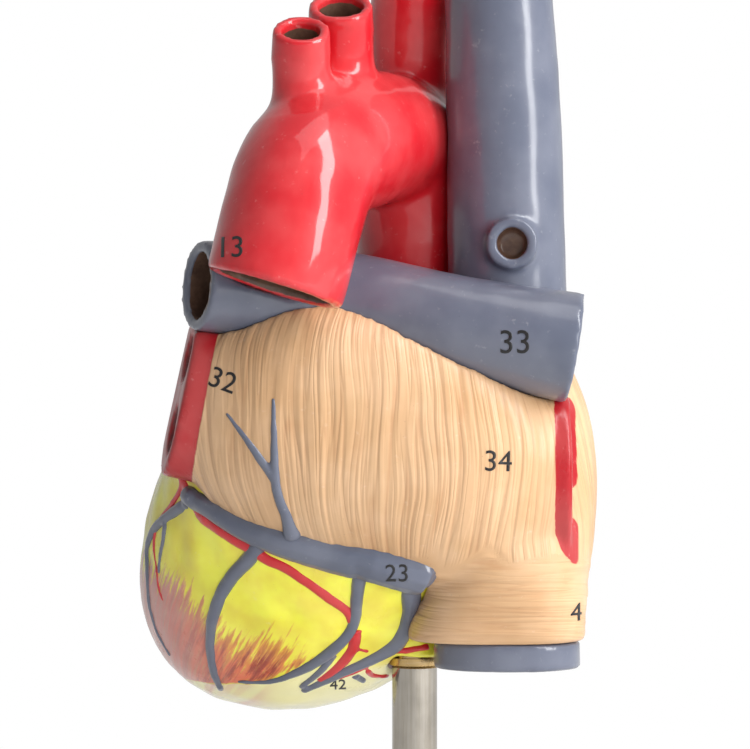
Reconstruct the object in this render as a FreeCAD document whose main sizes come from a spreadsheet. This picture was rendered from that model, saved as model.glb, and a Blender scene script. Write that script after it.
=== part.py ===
"""A life-size teaching model of the human heart, in two parts, standing on a rod.

Row frame, in millimetres: +Z up, origin on the rod's axis at the underside of the stand's pad.
The back of the heart (the left atrium) faces -Y, the front of the ventricles faces +Y, and the
patient's left is -X.

Two frames carry the heart:
- "ring" is the centre of the valve ring, with the row's own directions. Atria and great vessels
  are given from it.
- the tilted frame has w along the heart's long axis (up towards the base), u to the patient's
  right across the ring and v towards the front. Ventricles, chambers, valves and coronary vessels
  are given in it.
"""

import FreeCAD, Part
import math
import os

import Sketcher
from FreeCAD import Placement, Rotation, Vector

doc = FreeCAD.newDocument("HeartModel")

# ---------------------------------------------------------------- driving sizes

STAND_SIZES = [
    ("base_length", 118, "stand base along X"),
    ("base_width", 98, "stand base along Y"),
    ("base_height", 17, "top of the base above the table"),
    ("base_corner", 18, "radius of the base's corners in plan"),
    ("base_edge", 5, "round on the base's top edge"),
    ("base_wall", 2.6, "wall of the base moulding"),
    ("plate_thickness", 5, "steel plate that closes the base"),
    ("plate_gap", 0.3, "gap between the plate and the base wall"),
    ("pad_thickness", 1.5, "foam pad under the base"),
    ("pad_inset", 2, "pad edge inside the base edge"),
    ("boss_radius", 9, "boss around the rod inside the base"),
    ("rod_radius", 5, "stand rod"),
    ("rod_rise", 67, "rod shoulder above the top of the base"),
    ("rod_edge", 0.6, "chamfer at the rod shoulder"),
    ("rod_gap", 0.05, "radial gap between the rod and the base"),
    ("spigot_radius", 3, "thin top end of the rod"),
    ("spigot_length", 19, "thin top end of the rod"),
    ("sleeve_wall", 1.6, "brass sleeve on the spigot"),
    ("sleeve_gap", 0.05, "radial running gap inside and outside the sleeve"),
    ("sleeve_roof", 1.5, "closed end of the sleeve"),
    ("flange_radius", 5.6, "sleeve flange on the rod shoulder"),
    ("flange_thickness", 1.6, "sleeve flange"),
    ("flange_clearance", 0.3, "room around and above the flange"),
    ("socket_wall", 2.6, "plastic around the sleeve"),
    ("neck_height", 11, "plastic neck above the flange, outside the ventricles"),
    ("screw_radius", 2.5, "screw that holds the rod"),
    ("screw_grip", 14, "screw length inside the rod"),
    ("screw_head_radius", 4.6, "screw head"),
    ("screw_head_height", 2.4, "screw head"),
    ("screw_gap", 0.05, "radial gap around the screw in the rod"),
    ("hex_radius", 2.2, "hex recess in the screw head"),
    ("washer_radius", 6.4, "washer under the screw head"),
    ("washer_thickness", 1, "washer under the screw head"),
    ("web_thickness", 1.2, "plate left above the washer"),
]

HEART_SIZES = [
    ("ring_x", -14, "valve ring centre from the rod"),
    ("ring_y", 2, "valve ring centre from the rod"),
    ("ring_rise", 43, "valve ring centre above the rod shoulder"),
    ("lean_left", 19, "long axis towards the patient's left, degrees"),
    ("lean_forward", 32, "long axis towards the front, degrees"),
    ("ventricle_half_width", 40, "across the ventricles"),
    ("ventricle_half_depth", 34, "back to front of the ventricles"),
    ("ventricle_length", 65, "ring to apex"),
    ("ventricle_taper", 2.6, "how late the ventricles narrow"),
    ("apex_drift", 9, "apex to the left of the long axis"),
    ("shoulder_height", 5, "rounded top above the ring"),
    ("shoulder_drop", 0.2, "share of the width lost over the shoulder"),
    ("parting_v", 6, "plane between the two halves, in front of the long axis"),
    ("brow_depth", 10, "fixed band above the front wall"),
    ("parting_gap", 0.3, "gap between the two halves"),
    ("chamber_roof", 6, "chamber tops below the ring"),
    ("septum", 8.5, "wall between the ventricles"),
    ("left_chamber_u", -13, "left chamber axis"),
    ("left_chamber_v", -2, "left chamber axis"),
    ("left_chamber_half_width", 15.5, "left chamber across"),
    ("left_chamber_half_depth", 16, "left chamber back to front"),
    ("left_chamber_length", 48, "left chamber along the long axis"),
    ("right_chamber_u", 6, "right chamber axis"),
    ("right_chamber_v", 11, "right chamber axis"),
    ("right_chamber_half_width", 29, "right chamber across"),
    ("right_chamber_half_depth", 19, "right chamber back to front"),
    ("right_chamber_length", 41, "right chamber along the long axis"),
    ("outlet_u", -7, "outlet to the pulmonary trunk"),
    ("outlet_v", 23, "outlet to the pulmonary trunk"),
    ("outlet_radius", 7, "outlet to the pulmonary trunk"),
    ("left_atrium_x", 6.3, "left atrium centre from the ring centre"),
    ("left_atrium_y", -19, "left atrium centre from the ring centre"),
    ("left_atrium_z", 7.7, "left atrium centre from the ring centre"),
    ("left_atrium_half_length", 37.3, "left atrium along X"),
    ("left_atrium_half_height", 30, "left atrium"),
    ("left_atrium_half_depth", 20, "left atrium"),
    ("left_atrium_fall", 0.216, "drop of the left atrium's axis per unit of X"),
    ("left_atrium_end_drop", 0.4, "share of the section lost at the left atrium's ends"),
    ("left_collar", 7.8, "length of the left pulmonary vein collar"),
    ("right_collar", 3.8, "length of the right pulmonary vein collar"),
    ("collar_slant", 0.16, "left collar's face turned to the back, per unit"),
    ("collar_tilt", 0.21, "left collar's face turned upwards, per unit"),
    ("vein_rise", 1.6, "vein openings above the atrium's axis"),
    ("vein_spacing", 15.5, "between the two vein openings of a collar"),
    ("vein_bore", 5.2, "vein openings"),
    ("vein_recess", 4, "depth of the vein openings"),
    ("right_atrium_half_width", 21.5, "right atrium along X"),
    ("right_atrium_half_depth", 30, "right atrium along Y"),
    ("right_atrium_drop", 36.6, "floor of the right atrium below the ring centre"),
    ("lower_vein_half_width", 16, "inferior vena cava along X"),
    ("lower_vein_half_depth", 13, "inferior vena cava along Y"),
    ("lower_vein_length", 6, "inferior vena cava below the atrium"),
    ("upper_vein_x", 33.5, "superior vena cava from the ring centre"),
    ("upper_vein_y", -6.5, "superior vena cava from the ring centre"),
    ("upper_vein_radius", 12, "superior vena cava"),
    ("upper_vein_top", 107.5, "superior vena cava above the ring"),
    ("azygos_radius", 5.7, "side branch of the superior vena cava"),
    ("azygos_bore", 3.3, "side branch of the superior vena cava"),
    ("arch_x", 14, "foot of the aortic arch from the ring centre"),
    ("arch_y", 10, "foot of the aortic arch from the ring centre"),
    ("arch_z", 42, "foot of the aortic arch from the ring centre"),
    ("arch_left", 29, "heading of the arch"),
    ("arch_back", 56, "heading of the arch"),
    ("arch_radius", 30, "centre line of the aortic arch"),
    ("arch_shoulder", 8, "rise of the arch above a half circle where it leaves the heart"),
    ("aorta_radius", 14.3, "aorta at the arch"),
    ("lung_artery_radius", 11, "pulmonary arteries"),
    ("lung_trunk_radius", 12, "pulmonary trunk"),
    ("vessel_wall", 2.6, "wall of the great vessels"),
    ("branch_wall", 2.3, "wall of the arch branches"),
    ("branch_lean", 0.38, "backward lean of the arch branches' ends per unit of rise"),
    ("magnet_radius", 3, "holding magnets"),
    ("magnet_thickness", 2.4, "holding magnets"),
    ("magnet_recess", 0.15, "magnet face below the parting face"),
    ("magnet_glue", 0.1, "glue line around a magnet"),
    ("peg_radius", 1.8, "locating pegs"),
    ("peg_length", 5, "locating pegs beyond the parting face"),
    ("peg_gap", 0.25, "room around a peg in its hole"),
    ("mitral_radius", 8.5, "left inlet valve"),
    ("tricuspid_radius", 9, "right inlet valve"),
    ("aortic_valve_radius", 5, "left outlet valve"),
    ("lung_valve_radius", 5.2, "right outlet valve"),
    ("leaflet_length", 11, "inlet valves below the chamber roof"),
    ("leaflet_thickness", 1.2, "inlet valve leaflets"),
    ("cord_radius", 0.55, "tendinous cords"),
]


def fill_sheet(rows):
    """Puts the driving sizes in a spreadsheet: name, value (which has the alias), note."""
    sheet = doc.addObject("Spreadsheet::Sheet", "Sizes")
    for number, (alias, value, note) in enumerate(rows, start=1):
        sheet.set(f"A{number}", alias)
        sheet.set(f"B{number}", str(value))
        sheet.setAlias(f"B{number}", alias)
        sheet.set(f"C{number}", note)
    doc.recompute()
    return sheet


sizes = fill_sheet(STAND_SIZES + HEART_SIZES)


def size(alias):
    """One driving size, in millimetres or degrees."""
    return float(sizes.get(alias))


SUBPARTS = []


def subpart(item, label):
    """Names a finished piece; its label names its file."""
    item.Label = label
    SUBPARTS.append(item)
    return item


# ---------------------------------------------------------------- sketch helpers


def new_body(label):
    body = doc.addObject("PartDesign::Body", label + "_body")
    return subpart(body, label)


def level_sketch(body, name, level):
    """A sketch parallel to the body's XY plane, at a height given as an expression."""
    plane = next(f for f in body.Origin.OriginFeatures if f.Role == "XY_Plane")
    sketch = body.newObject("Sketcher::SketchObject", name)
    sketch.AttachmentSupport = [(plane, "")]
    sketch.MapMode = "FlatFace"
    sketch.setExpression("AttachmentOffset.Base.z", level)
    return sketch


def draw_circle(sketch, radius):
    """A circle about the sketch's origin, its radius bound to an expression."""
    circle = sketch.addGeometry(Part.Circle(Vector(), Vector(0, 0, 1), 5))
    sketch.addConstraint(Sketcher.Constraint("Coincident", circle, 3, -1, 1))
    index = sketch.addConstraint(Sketcher.Constraint("Radius", circle, 5))
    sketch.setExpression(f"Constraints[{index}]", radius)


def draw_plate(sketch, length, width, corner):
    """A rectangle with round corners about the sketch's origin, all bound to expressions."""
    half_x, half_y, radius = 50, 40, 10
    quarter = math.pi / 2
    centres = [(1, 1), (-1, 1), (-1, -1), (1, -1)]
    arcs = []
    for number, (side_x, side_y) in enumerate(centres):
        middle = Vector(side_x * (half_x - radius), side_y * (half_y - radius), 0)
        circle = Part.Circle(middle, Vector(0, 0, 1), radius)
        arc = Part.ArcOfCircle(circle, number * quarter, (number + 1) * quarter)
        arcs.append(sketch.addGeometry(arc))
    lines = []
    for number, (here, there) in enumerate(zip(arcs, arcs[1:] + arcs[:1])):
        start, end = sketch.getPoint(here, 2), sketch.getPoint(there, 1)
        line = sketch.addGeometry(Part.LineSegment(start, end))
        sketch.addConstraint(Sketcher.Constraint("Tangent", here, 2, line, 1))
        sketch.addConstraint(Sketcher.Constraint("Tangent", line, 2, there, 1))
        sketch.addConstraint(
            Sketcher.Constraint("Vertical" if number % 2 else "Horizontal", line)
        )
        lines.append(line)
    for arc in arcs[1:]:
        sketch.addConstraint(Sketcher.Constraint("Equal", arcs[0], arc))
    sketch.addConstraint(Sketcher.Constraint("Symmetric", arcs[0], 3, arcs[2], 3, -1, 1))
    wide = Sketcher.Constraint("DistanceX", arcs[1], 3, arcs[0], 3, 2 * (half_x - radius))
    deep = Sketcher.Constraint("DistanceY", arcs[2], 3, arcs[1], 3, 2 * (half_y - radius))
    round_corner = Sketcher.Constraint("Radius", arcs[0], radius)
    rows = [
        (wide, f"{length} - 2 * ({corner})"),
        (deep, f"{width} - 2 * ({corner})"),
        (round_corner, corner),
    ]
    for constraint, expression in rows:
        index = sketch.addConstraint(constraint)
        sketch.setExpression(f"Constraints[{index}]", expression)


def pad(body, sketch, length):
    feature = body.newObject("PartDesign::Pad", sketch.Name + "_pad")
    feature.Profile = sketch
    feature.setExpression("Length", length)
    sketch.Visibility = False
    doc.recompute()
    return feature


def pocket_up(body, sketch, depth):
    """Cuts upwards from the sketch, and makes sure that it took something away."""
    before = body.Shape.Volume
    feature = body.newObject("PartDesign::Pocket", sketch.Name + "_pocket")
    feature.Profile = sketch
    feature.Reversed = True
    feature.setExpression("Length", depth)
    doc.recompute()
    if body.Shape.Volume >= before:
        raise ValueError(f"{feature.Name} cuts nothing")
    return feature


def edge_names(shape, wanted):
    return [f"Edge{i}" for i, edge in enumerate(shape.Edges, start=1) if wanted(edge)]


def lies_at(height):
    def test(edge):
        return abs(edge.BoundBox.ZMin - height) < 0.001 and abs(edge.BoundBox.ZMax - height) < 0.001

    return test


def dress_edges(body, base, kind, wanted, measure, alias):
    """A fillet or chamfer on the wanted edges, its size bound to an expression."""
    feature = body.newObject(f"PartDesign::{kind}", f"{base.Name}_{kind}")
    feature.Base = (base, edge_names(base.Shape, wanted))
    feature.setExpression(measure, alias)
    doc.recompute()
    return feature


# ---------------------------------------------------------------- the stand

PAD_TOP = "Sizes.pad_thickness"
PLATE_TOP = "Sizes.pad_thickness + Sizes.plate_thickness"
ROD_TOP = "Sizes.base_height + Sizes.rod_rise"


def build_base_shell():
    body = new_body("base_shell")
    outline = level_sketch(body, "base_outline", PAD_TOP)
    draw_plate(outline, "Sizes.base_length", "Sizes.base_width", "Sizes.base_corner")
    block = pad(body, outline, f"Sizes.base_height - {PAD_TOP}")
    top = lies_at(size("base_height"))
    dress_edges(body, block, "Fillet", top, "Radius", "Sizes.base_edge")
    inside = level_sketch(body, "base_inside", PAD_TOP)
    draw_plate(
        inside,
        "Sizes.base_length - 2 * Sizes.base_wall",
        "Sizes.base_width - 2 * Sizes.base_wall",
        "Sizes.base_corner - Sizes.base_wall",
    )
    pocket_up(body, inside, f"Sizes.base_height - {PAD_TOP} - Sizes.base_wall")
    boss = level_sketch(body, "base_boss", PLATE_TOP)
    draw_circle(boss, "Sizes.boss_radius")
    pad(body, boss, f"Sizes.base_height - ({PLATE_TOP}) - Sizes.base_wall / 2")
    hole = level_sketch(body, "rod_hole", PLATE_TOP)
    draw_circle(hole, "Sizes.rod_radius + Sizes.rod_gap")
    pocket_up(body, hole, "Sizes.base_height")


def build_base_plate():
    body = new_body("base_plate")
    outline = level_sketch(body, "plate_outline", PAD_TOP)
    inset = "(Sizes.base_wall + Sizes.plate_gap)"
    draw_plate(
        outline,
        f"Sizes.base_length - 2 * {inset}",
        f"Sizes.base_width - 2 * {inset}",
        f"Sizes.base_corner - {inset}",
    )
    pad(body, outline, "Sizes.plate_thickness")
    recess = level_sketch(body, "washer_recess", PAD_TOP)
    draw_circle(recess, "Sizes.washer_radius + Sizes.plate_gap")
    pocket_up(body, recess, "Sizes.plate_thickness - Sizes.web_thickness")
    hole = level_sketch(body, "screw_hole", PAD_TOP)
    draw_circle(hole, "Sizes.screw_radius + Sizes.plate_gap")
    pocket_up(body, hole, "Sizes.plate_thickness")


def build_base_pad():
    body = new_body("base_pad")
    outline = level_sketch(body, "pad_outline", "0 mm")
    draw_plate(
        outline,
        "Sizes.base_length - 2 * Sizes.pad_inset",
        "Sizes.base_width - 2 * Sizes.pad_inset",
        "Sizes.base_corner - Sizes.pad_inset",
    )
    pad(body, outline, "Sizes.pad_thickness")


def build_stand_rod():
    body = new_body("stand_rod")
    bar = level_sketch(body, "rod_bar", PLATE_TOP)
    draw_circle(bar, "Sizes.rod_radius")
    block = pad(body, bar, f"{ROD_TOP} - ({PLATE_TOP})")
    top = size("base_height") + size("rod_rise")
    dress_edges(body, block, "Chamfer", lies_at(top), "Size", "Sizes.rod_edge")
    spigot = level_sketch(body, "rod_spigot", ROD_TOP)
    draw_circle(spigot, "Sizes.spigot_radius")
    block = pad(body, spigot, "Sizes.spigot_length")
    top += size("spigot_length")
    dress_edges(body, block, "Chamfer", lies_at(top), "Size", "Sizes.rod_edge")
    tapped = level_sketch(body, "rod_tapped_hole", PLATE_TOP)
    draw_circle(tapped, "Sizes.screw_radius + Sizes.screw_gap")
    pocket_up(body, tapped, "Sizes.screw_grip + 2 * Sizes.washer_thickness")


def cylinder(name, radius, height, level):
    """An upright Part cylinder on the rod's axis; radius, height and level are expressions."""
    item = doc.addObject("Part::Cylinder", name)
    item.setExpression("Radius", radius)
    item.setExpression("Height", height)
    item.setExpression("Placement.Base.z", level)
    return item


def cut(name, base, *tools):
    """base less each tool in turn, as document features."""
    for number, tool in enumerate(tools):
        item = doc.addObject("Part::Cut", f"{name}_{number}")
        item.Base = base
        item.Tool = tool
        base = item
    return base


def fuse(name, *parts):
    item = doc.addObject("Part::MultiFuse", name)
    item.Shapes = list(parts)
    return item


def build_rod_fixings():
    """The washer and the screw that pull the rod down on the plate."""
    web = f"{PLATE_TOP} - Sizes.web_thickness"
    ring = cylinder("washer_disc", "Sizes.washer_radius", "Sizes.washer_thickness", "0 mm")
    ring.setExpression("Placement.Base.z", f"{web} - Sizes.washer_thickness")
    hole = cylinder(
        "washer_hole", "Sizes.screw_radius + Sizes.plate_gap", "Sizes.plate_thickness", PAD_TOP
    )
    subpart(cut("washer_cut", ring, hole), "rod_washer")
    under_head = f"{web} - Sizes.washer_thickness"
    shank_length = "Sizes.washer_thickness + Sizes.web_thickness + Sizes.screw_grip"
    shank = cylinder("screw_shank", "Sizes.screw_radius", shank_length, under_head)
    head_level = f"{under_head} - Sizes.screw_head_height"
    head = cylinder(
        "screw_head", "Sizes.screw_head_radius", "Sizes.screw_head_height", head_level
    )
    recess = doc.addObject("Part::Prism", "screw_hex")
    recess.Polygon = 6
    recess.setExpression("Circumradius", "Sizes.hex_radius")
    recess.setExpression("Height", "Sizes.screw_head_height * 0.6")
    recess.setExpression("Placement.Base.z", head_level)
    subpart(cut("screw_cut", fuse("screw_blank", shank, head), recess), "rod_screw")


def build_socket_sleeve():
    """The brass sleeve that slips over the spigot and carries the heart."""
    outer = "Sizes.spigot_radius + Sizes.sleeve_gap + Sizes.sleeve_wall"
    length = "Sizes.spigot_length + Sizes.sleeve_gap + Sizes.sleeve_roof"
    barrel = cylinder("sleeve_barrel", outer, length, ROD_TOP)
    flange = cylinder("sleeve_flange", "Sizes.flange_radius", "Sizes.flange_thickness", ROD_TOP)
    bore = cylinder(
        "sleeve_bore",
        "Sizes.spigot_radius + Sizes.sleeve_gap",
        "Sizes.spigot_length + Sizes.sleeve_gap",
        ROD_TOP,
    )
    subpart(cut("sleeve_cut", fuse("sleeve_blank", barrel, flange), bore), "socket_sleeve")


# ---------------------------------------------------------------- skins and frames

RING = Vector(
    size("ring_x"),
    size("ring_y"),
    size("base_height") + size("rod_rise") + size("ring_rise"),
)
TILT = Rotation(Vector(1, 0, 0), size("lean_forward")) * Rotation(
    Vector(0, 1, 0), size("lean_left")
)
RING_FRAME = Placement(RING, Rotation())
TILTED_FRAME = Placement(RING, TILT)
ACROSS, DEEP, UP = Vector(1, 0, 0), Vector(0, 1, 0), Vector(0, 0, 1)
SECTION_POINTS = 16


def set_in(frame, shape):
    """A shape modelled in one of the heart's two frames, moved to its place in the row frame."""
    shape.Placement = frame
    return shape


def piece(label, shape, solids=1):
    """A finished piece of the heart, or a group of solids. Crumbs of the trimming are dropped."""
    largest = sorted(shape.Solids, key=lambda solid: -solid.Volume)[:solids]
    item = doc.addObject("Part::Feature", label + "_body")
    item.Shape = largest[0] if len(largest) == 1 else Part.makeCompound(largest)
    dropped = sum(solid.Volume for solid in shape.Solids) - item.Shape.Volume
    if dropped > 0.03 * item.Shape.Volume or len(largest) < solids:
        raise ValueError(f"{label}: {len(shape.Solids)} solids, {dropped:.0f} mm3 left out")
    return subpart(item, label)


def section(centre, across, along, half_across, half_along, squareness=2.0):
    """A closed smooth wire: an ellipse, or a rounder box where squareness is over 2."""
    points = []
    for step in range(SECTION_POINTS):
        angle = 2 * math.pi * step / SECTION_POINTS
        x, y = math.cos(angle), math.sin(angle)
        swell = (abs(x) ** squareness + abs(y) ** squareness) ** (-1 / squareness)
        points.append(
            centre + across * (half_across * x * swell) + along * (half_along * y * swell)
        )
    curve = Part.BSplineCurve()
    curve.interpolate(points, PeriodicFlag=True)
    return Part.Wire(curve.toShape())


def skin(wires):
    """The closed solid through a row of sections."""
    solid = Part.makeLoft(wires, True, False)
    if solid.Volume < 0:
        solid.reverse()
    return solid


def spread(values, share):
    """The value a share of the way through a list of equally spaced values."""
    place = share * (len(values) - 1)
    low = min(int(place), len(values) - 2)
    return values[low] + (values[low + 1] - values[low]) * (place - low)


def tube(points, radii, stations=12, from_share=0.0, to_share=1.0):
    """A smooth round tube along points, with its radius running evenly through radii."""
    path = Part.BSplineCurve()
    path.interpolate([Vector(*p) for p in points])
    edge = path.toShape()
    wires = []
    side = None
    for station in range(stations + 1):
        share = from_share + (to_share - from_share) * station / stations
        where = edge.getParameterByLength(edge.Length * share)
        tangent = edge.tangentAt(where)
        if side is None:
            side = ACROSS.cross(tangent) if abs(tangent.x) < 0.9 else DEEP.cross(tangent)
        side = side - tangent * side.dot(tangent)
        side.normalize()
        radius = spread(radii, share)
        wires.append(
            section(edge.valueAt(where), side, tangent.cross(side), radius, radius)
        )
    return skin(wires)


def across_parting(u, w, back, front, radius):
    """A cylinder across the parting plane."""
    rod = Part.makeCylinder(radius, front - back, Vector(u, back, w), DEEP)
    return set_in(TILTED_FRAME, rod)


def upright(low, high, radius):
    """A cylinder on the stand rod's axis."""
    return Part.makeCylinder(radius, high - low, Vector(0, 0, low))


def front_room(low_v, top_w):
    """The tilted frame's space in front of v = low_v and below w = top_w."""
    reach = 2 * size("ventricle_length")
    box = Part.makeBox(2 * reach, reach, reach, Vector(-reach, low_v, top_w - reach))
    return set_in(TILTED_FRAME, box)


# ---------------------------------------------------------------- ventricles

HALF_WIDTH = size("ventricle_half_width")
HALF_DEPTH = size("ventricle_half_depth")
LENGTH = size("ventricle_length")
SHOULDER = size("shoulder_height")
ROOF = -size("chamber_roof")


def width_share(depth_share):
    """Width of the ventricles at a share of the way from their top to the apex."""
    return math.sqrt(1 - depth_share ** size("ventricle_taper"))


def drift(depth):
    """How far the heart's axis has swung to the left at a depth below the ring."""
    return -size("apex_drift") * (depth / LENGTH) ** 2


def blunt_cone(half_width, half_depth, top, bottom, u=0.0, v=0.0, shoulder=0.0):
    """The shape shared by the ventricles and their chambers, in the tilted frame."""
    wires = []
    for share in [1, 0.55, 0.2] if shoulder else []:
        width = 1 - size("shoulder_drop") * share**2
        centre = Vector(u, v, top + shoulder * share)
        wires.append(section(centre, ACROSS, DEEP, half_width * width, half_depth * width))
    for share in [0, 0.15, 0.3, 0.45, 0.6, 0.72, 0.82, 0.9, 0.955, 0.985, 0.998]:
        width = width_share(share)
        w = top + (bottom - top) * share
        centre = Vector(u + drift(w), v, w)
        wires.append(section(centre, ACROSS, DEEP, half_width * width, half_depth * width))
    return skin(wires)


def wall_point(turn, depth):
    """A point of the ventricles' skin in the tilted frame: turn in degrees from the patient's
    right round towards the front, and depth below the ring."""
    width = width_share(max(depth, 0) / LENGTH)
    angle = math.radians(turn)
    across = HALF_WIDTH * width * math.cos(angle) + drift(depth)
    return Vector(across, HALF_DEPTH * width * math.sin(angle), -depth)


def build_chambers():
    """The left chamber, and the right one wrapped round the septum with its outlet."""
    left_u, left_v = size("left_chamber_u"), size("left_chamber_v")
    left_width, left_depth = size("left_chamber_half_width"), size("left_chamber_half_depth")
    left_end = ROOF - size("left_chamber_length")
    left = blunt_cone(left_width, left_depth, ROOF, left_end, left_u, left_v)
    septum = size("septum")
    ring = blunt_cone(
        left_width + septum,
        left_depth + septum,
        ROOF + septum / 8,
        left_end - septum,
        left_u,
        left_v,
    )
    right = blunt_cone(
        size("right_chamber_half_width"),
        size("right_chamber_half_depth"),
        ROOF,
        ROOF - size("right_chamber_length"),
        size("right_chamber_u"),
        size("right_chamber_v"),
    )
    outlet = size("outlet_radius")
    outlet_room = blunt_cone(
        outlet, outlet, ROOF, ROOF - 3 * outlet, size("outlet_u"), size("outlet_v")
    )
    right = right.cut(ring).fuse(outlet_room)
    return set_in(TILTED_FRAME, left), set_in(TILTED_FRAME, right)


def build_socket():
    """The boss round the sleeve, its neck, and the room for the sleeve and its flange."""
    rod_top = size("base_height") + size("rod_rise")
    sleeve_radius = size("spigot_radius") + size("sleeve_gap") + size("sleeve_wall")
    sleeve_top = rod_top + size("spigot_length") + size("sleeve_gap") + size("sleeve_roof")
    bore_radius = sleeve_radius + size("sleeve_gap")
    below = rod_top - size("spigot_length")
    boss = upright(rod_top, sleeve_top + size("socket_wall"), bore_radius + size("socket_wall"))
    bore = upright(below, sleeve_top, bore_radius)
    flange_top = rod_top + size("flange_thickness") + size("flange_clearance")
    neck_radius = size("flange_radius") + size("flange_clearance")
    flange_room = upright(below, flange_top, neck_radius)
    neck = upright(flange_top, flange_top + size("neck_height"), neck_radius)
    return boss, neck, [bore, flange_room]


def build_ventricles(outside, left, right, boss, neck, socket):
    """The rear half with the socket for the sleeve, and the front wall that comes off."""
    parting, gap = size("parting_v"), size("parting_gap")
    brow = -size("brow_depth")

    magnet, thick = size("magnet_radius"), size("magnet_thickness")
    pocket = magnet + size("magnet_glue")
    back, front = parting - size("magnet_recess"), parting + gap + size("magnet_recess")
    rear_cuts = [across_parting(u, w, back - thick, parting + 1, pocket) for u, w in MAGNETS]
    front_cuts = [across_parting(u, w, parting - 1, front + thick, pocket) for u, w in MAGNETS]
    rear_discs = [across_parting(u, w, back - thick, back, magnet) for u, w in MAGNETS]
    front_discs = [across_parting(u, w, front, front + thick, magnet) for u, w in MAGNETS]
    peg, room = size("peg_radius"), size("peg_gap")
    peg_end = parting + gap - size("peg_length")
    rear_cuts += [
        across_parting(u, w, peg_end - 2 * room, parting + 1, peg + room) for u, w in PEGS
    ]
    pegs = [across_parting(u, w, peg_end, parting + 4, peg) for u, w in PEGS]

    rear = outside.cut(front_room(parting, brow)).cut(left).cut(right)
    rear = rear.fuse(boss.common(outside)).fuse(neck)
    for tool in socket + rear_cuts:
        rear = rear.cut(tool)
    piece("ventricles_rear_half", rear)
    wall = outside.common(front_room(parting + gap, brow - gap)).cut(left).cut(right)
    for tool in front_cuts:
        wall = wall.cut(tool)
    for tool in pegs:
        wall = wall.fuse(tool)
    piece("front_wall", wall)
    piece("rear_magnets", Part.makeCompound(rear_discs), len(MAGNETS))
    piece("front_magnets", Part.makeCompound(front_discs), len(MAGNETS))


MAGNETS = [(-32, -16), (3, -24), (-10, -58)]
PEGS = [(-31, -32), (1.5, -38)]


# ---------------------------------------------------------------- great vessels and atria

def ring_from_tilted(u, v, w):
    """A point of the tilted frame, given from the ring in the row's own directions."""
    return TILT.multVec(Vector(u, v, w))


def arch_point(turn):
    """The aorta's centre line round its arch, from 0 over the heart to 180 behind it."""
    heading = Vector(-size("arch_left"), -size("arch_back"), 0)
    heading.normalize()
    start = Vector(size("arch_x"), size("arch_y"), size("arch_z"))
    radius = size("arch_radius")
    angle = math.radians(turn)
    shoulder = size("arch_shoulder") * max(0, math.sin(2 * angle))
    along = heading * (radius * (1 - math.cos(angle)) - 0.35 * shoulder)
    return start + along + UP * (radius * math.sin(angle) + shoulder)


def build_aorta_full():
    """The aorta and its three branches, blind at every cut end."""
    root = ring_from_tilted(3, 5, -3)
    riser = (root + arch_point(0)) * 0.5 + Vector(2, 2, 0)
    path = [root, riser] + [arch_point(turn) for turn in (0, 45, 90, 135, 163)]
    path.append(path[-1] + Vector(-3, -2.3, -11.5))
    radius = size("aorta_radius")
    radii = [radius * share for share in (0.95, 0.92, 0.92, 1, 1.03, 1.08, 1.05, 1.03)]
    wall = size("vessel_wall")
    parts = [tube(path, radii, stations=20)]
    bores = [tube(path, [r - wall for r in radii], 4, 0.93, 1.0)]
    lean = Vector(0, -size("branch_lean"), 1)
    for turn, tip, tip_radius in ARCH_BRANCHES:
        start = arch_point(turn)
        middle = tip - lean * (0.45 * (tip - start).Length)
        ends = [tip_radius * 1.7, tip_radius * 1.08, tip_radius]
        parts.append(tube([start, middle, tip], ends, 6))
        inner = [r - size("branch_wall") for r in ends]
        bores.append(tube([start, middle, tip], inner, 3, 0.8, 1.0))
    return parts, bores


ARCH_BRANCHES = [
    (136, Vector(-10.4, -36, 94.5), 6.2),
    (104, Vector(-2.2, -24, 101), 7),
    (35, Vector(13.5, 3, 110), 9.2),
]


def build_lung_artery_full():
    """The pulmonary trunk and the two arteries it feeds."""
    path = [(-33, -27, 40.5), (-16, -21, 39), (-1, -19, 37), (19, -24, 32.5), (34, -27, 29.5)]
    path.append((48, -28, 27))
    radius = size("lung_artery_radius")
    radii = [radius * share for share in (0.88, 0.95, 1, 1, 1.02, 1.09)]
    wall = size("vessel_wall")
    inner = [r - wall for r in radii]
    root = ring_from_tilted(-11, 23, -3)
    trunk = [root, (-11.5, 14, 24), (-10, 3, 34), (-6, -14, 38.5)]
    trunk_radius = size("lung_trunk_radius")
    flare = [trunk_radius * share for share in (1.25, 1.02, 1, 0.85)]
    parts = [tube(path, radii, 14), tube(trunk, flare, 9)]
    bores = [tube(path, inner, 3, 0.0, 0.1), tube(path, inner, 3, 0.9, 1.0)]
    return parts, bores


def left_atrium_sections(shares):
    half_length = size("left_atrium_half_length")
    wires = []
    for share in shares:
        x = half_length * share
        narrow = 1 - size("left_atrium_end_drop") * min(abs(share), 1) ** 3
        lean = 0.185 * max(-share, 0)
        upright = Vector(lean, 0, 1)
        upright.normalize()
        centre = Vector(
            size("left_atrium_x") + x,
            size("left_atrium_y"),
            size("left_atrium_z") - size("left_atrium_fall") * x,
        )
        wires.append(
            section(
                centre,
                DEEP,
                upright,
                size("left_atrium_half_depth") * narrow,
                size("left_atrium_half_height") * narrow,
                2.3,
            )
        )
    return wires


def build_left_atrium_full():
    return skin(left_atrium_sections([-1, -0.9, -0.75, -0.5, -0.2, 0.15, 0.45, 0.7, 0.88, 1]))


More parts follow.
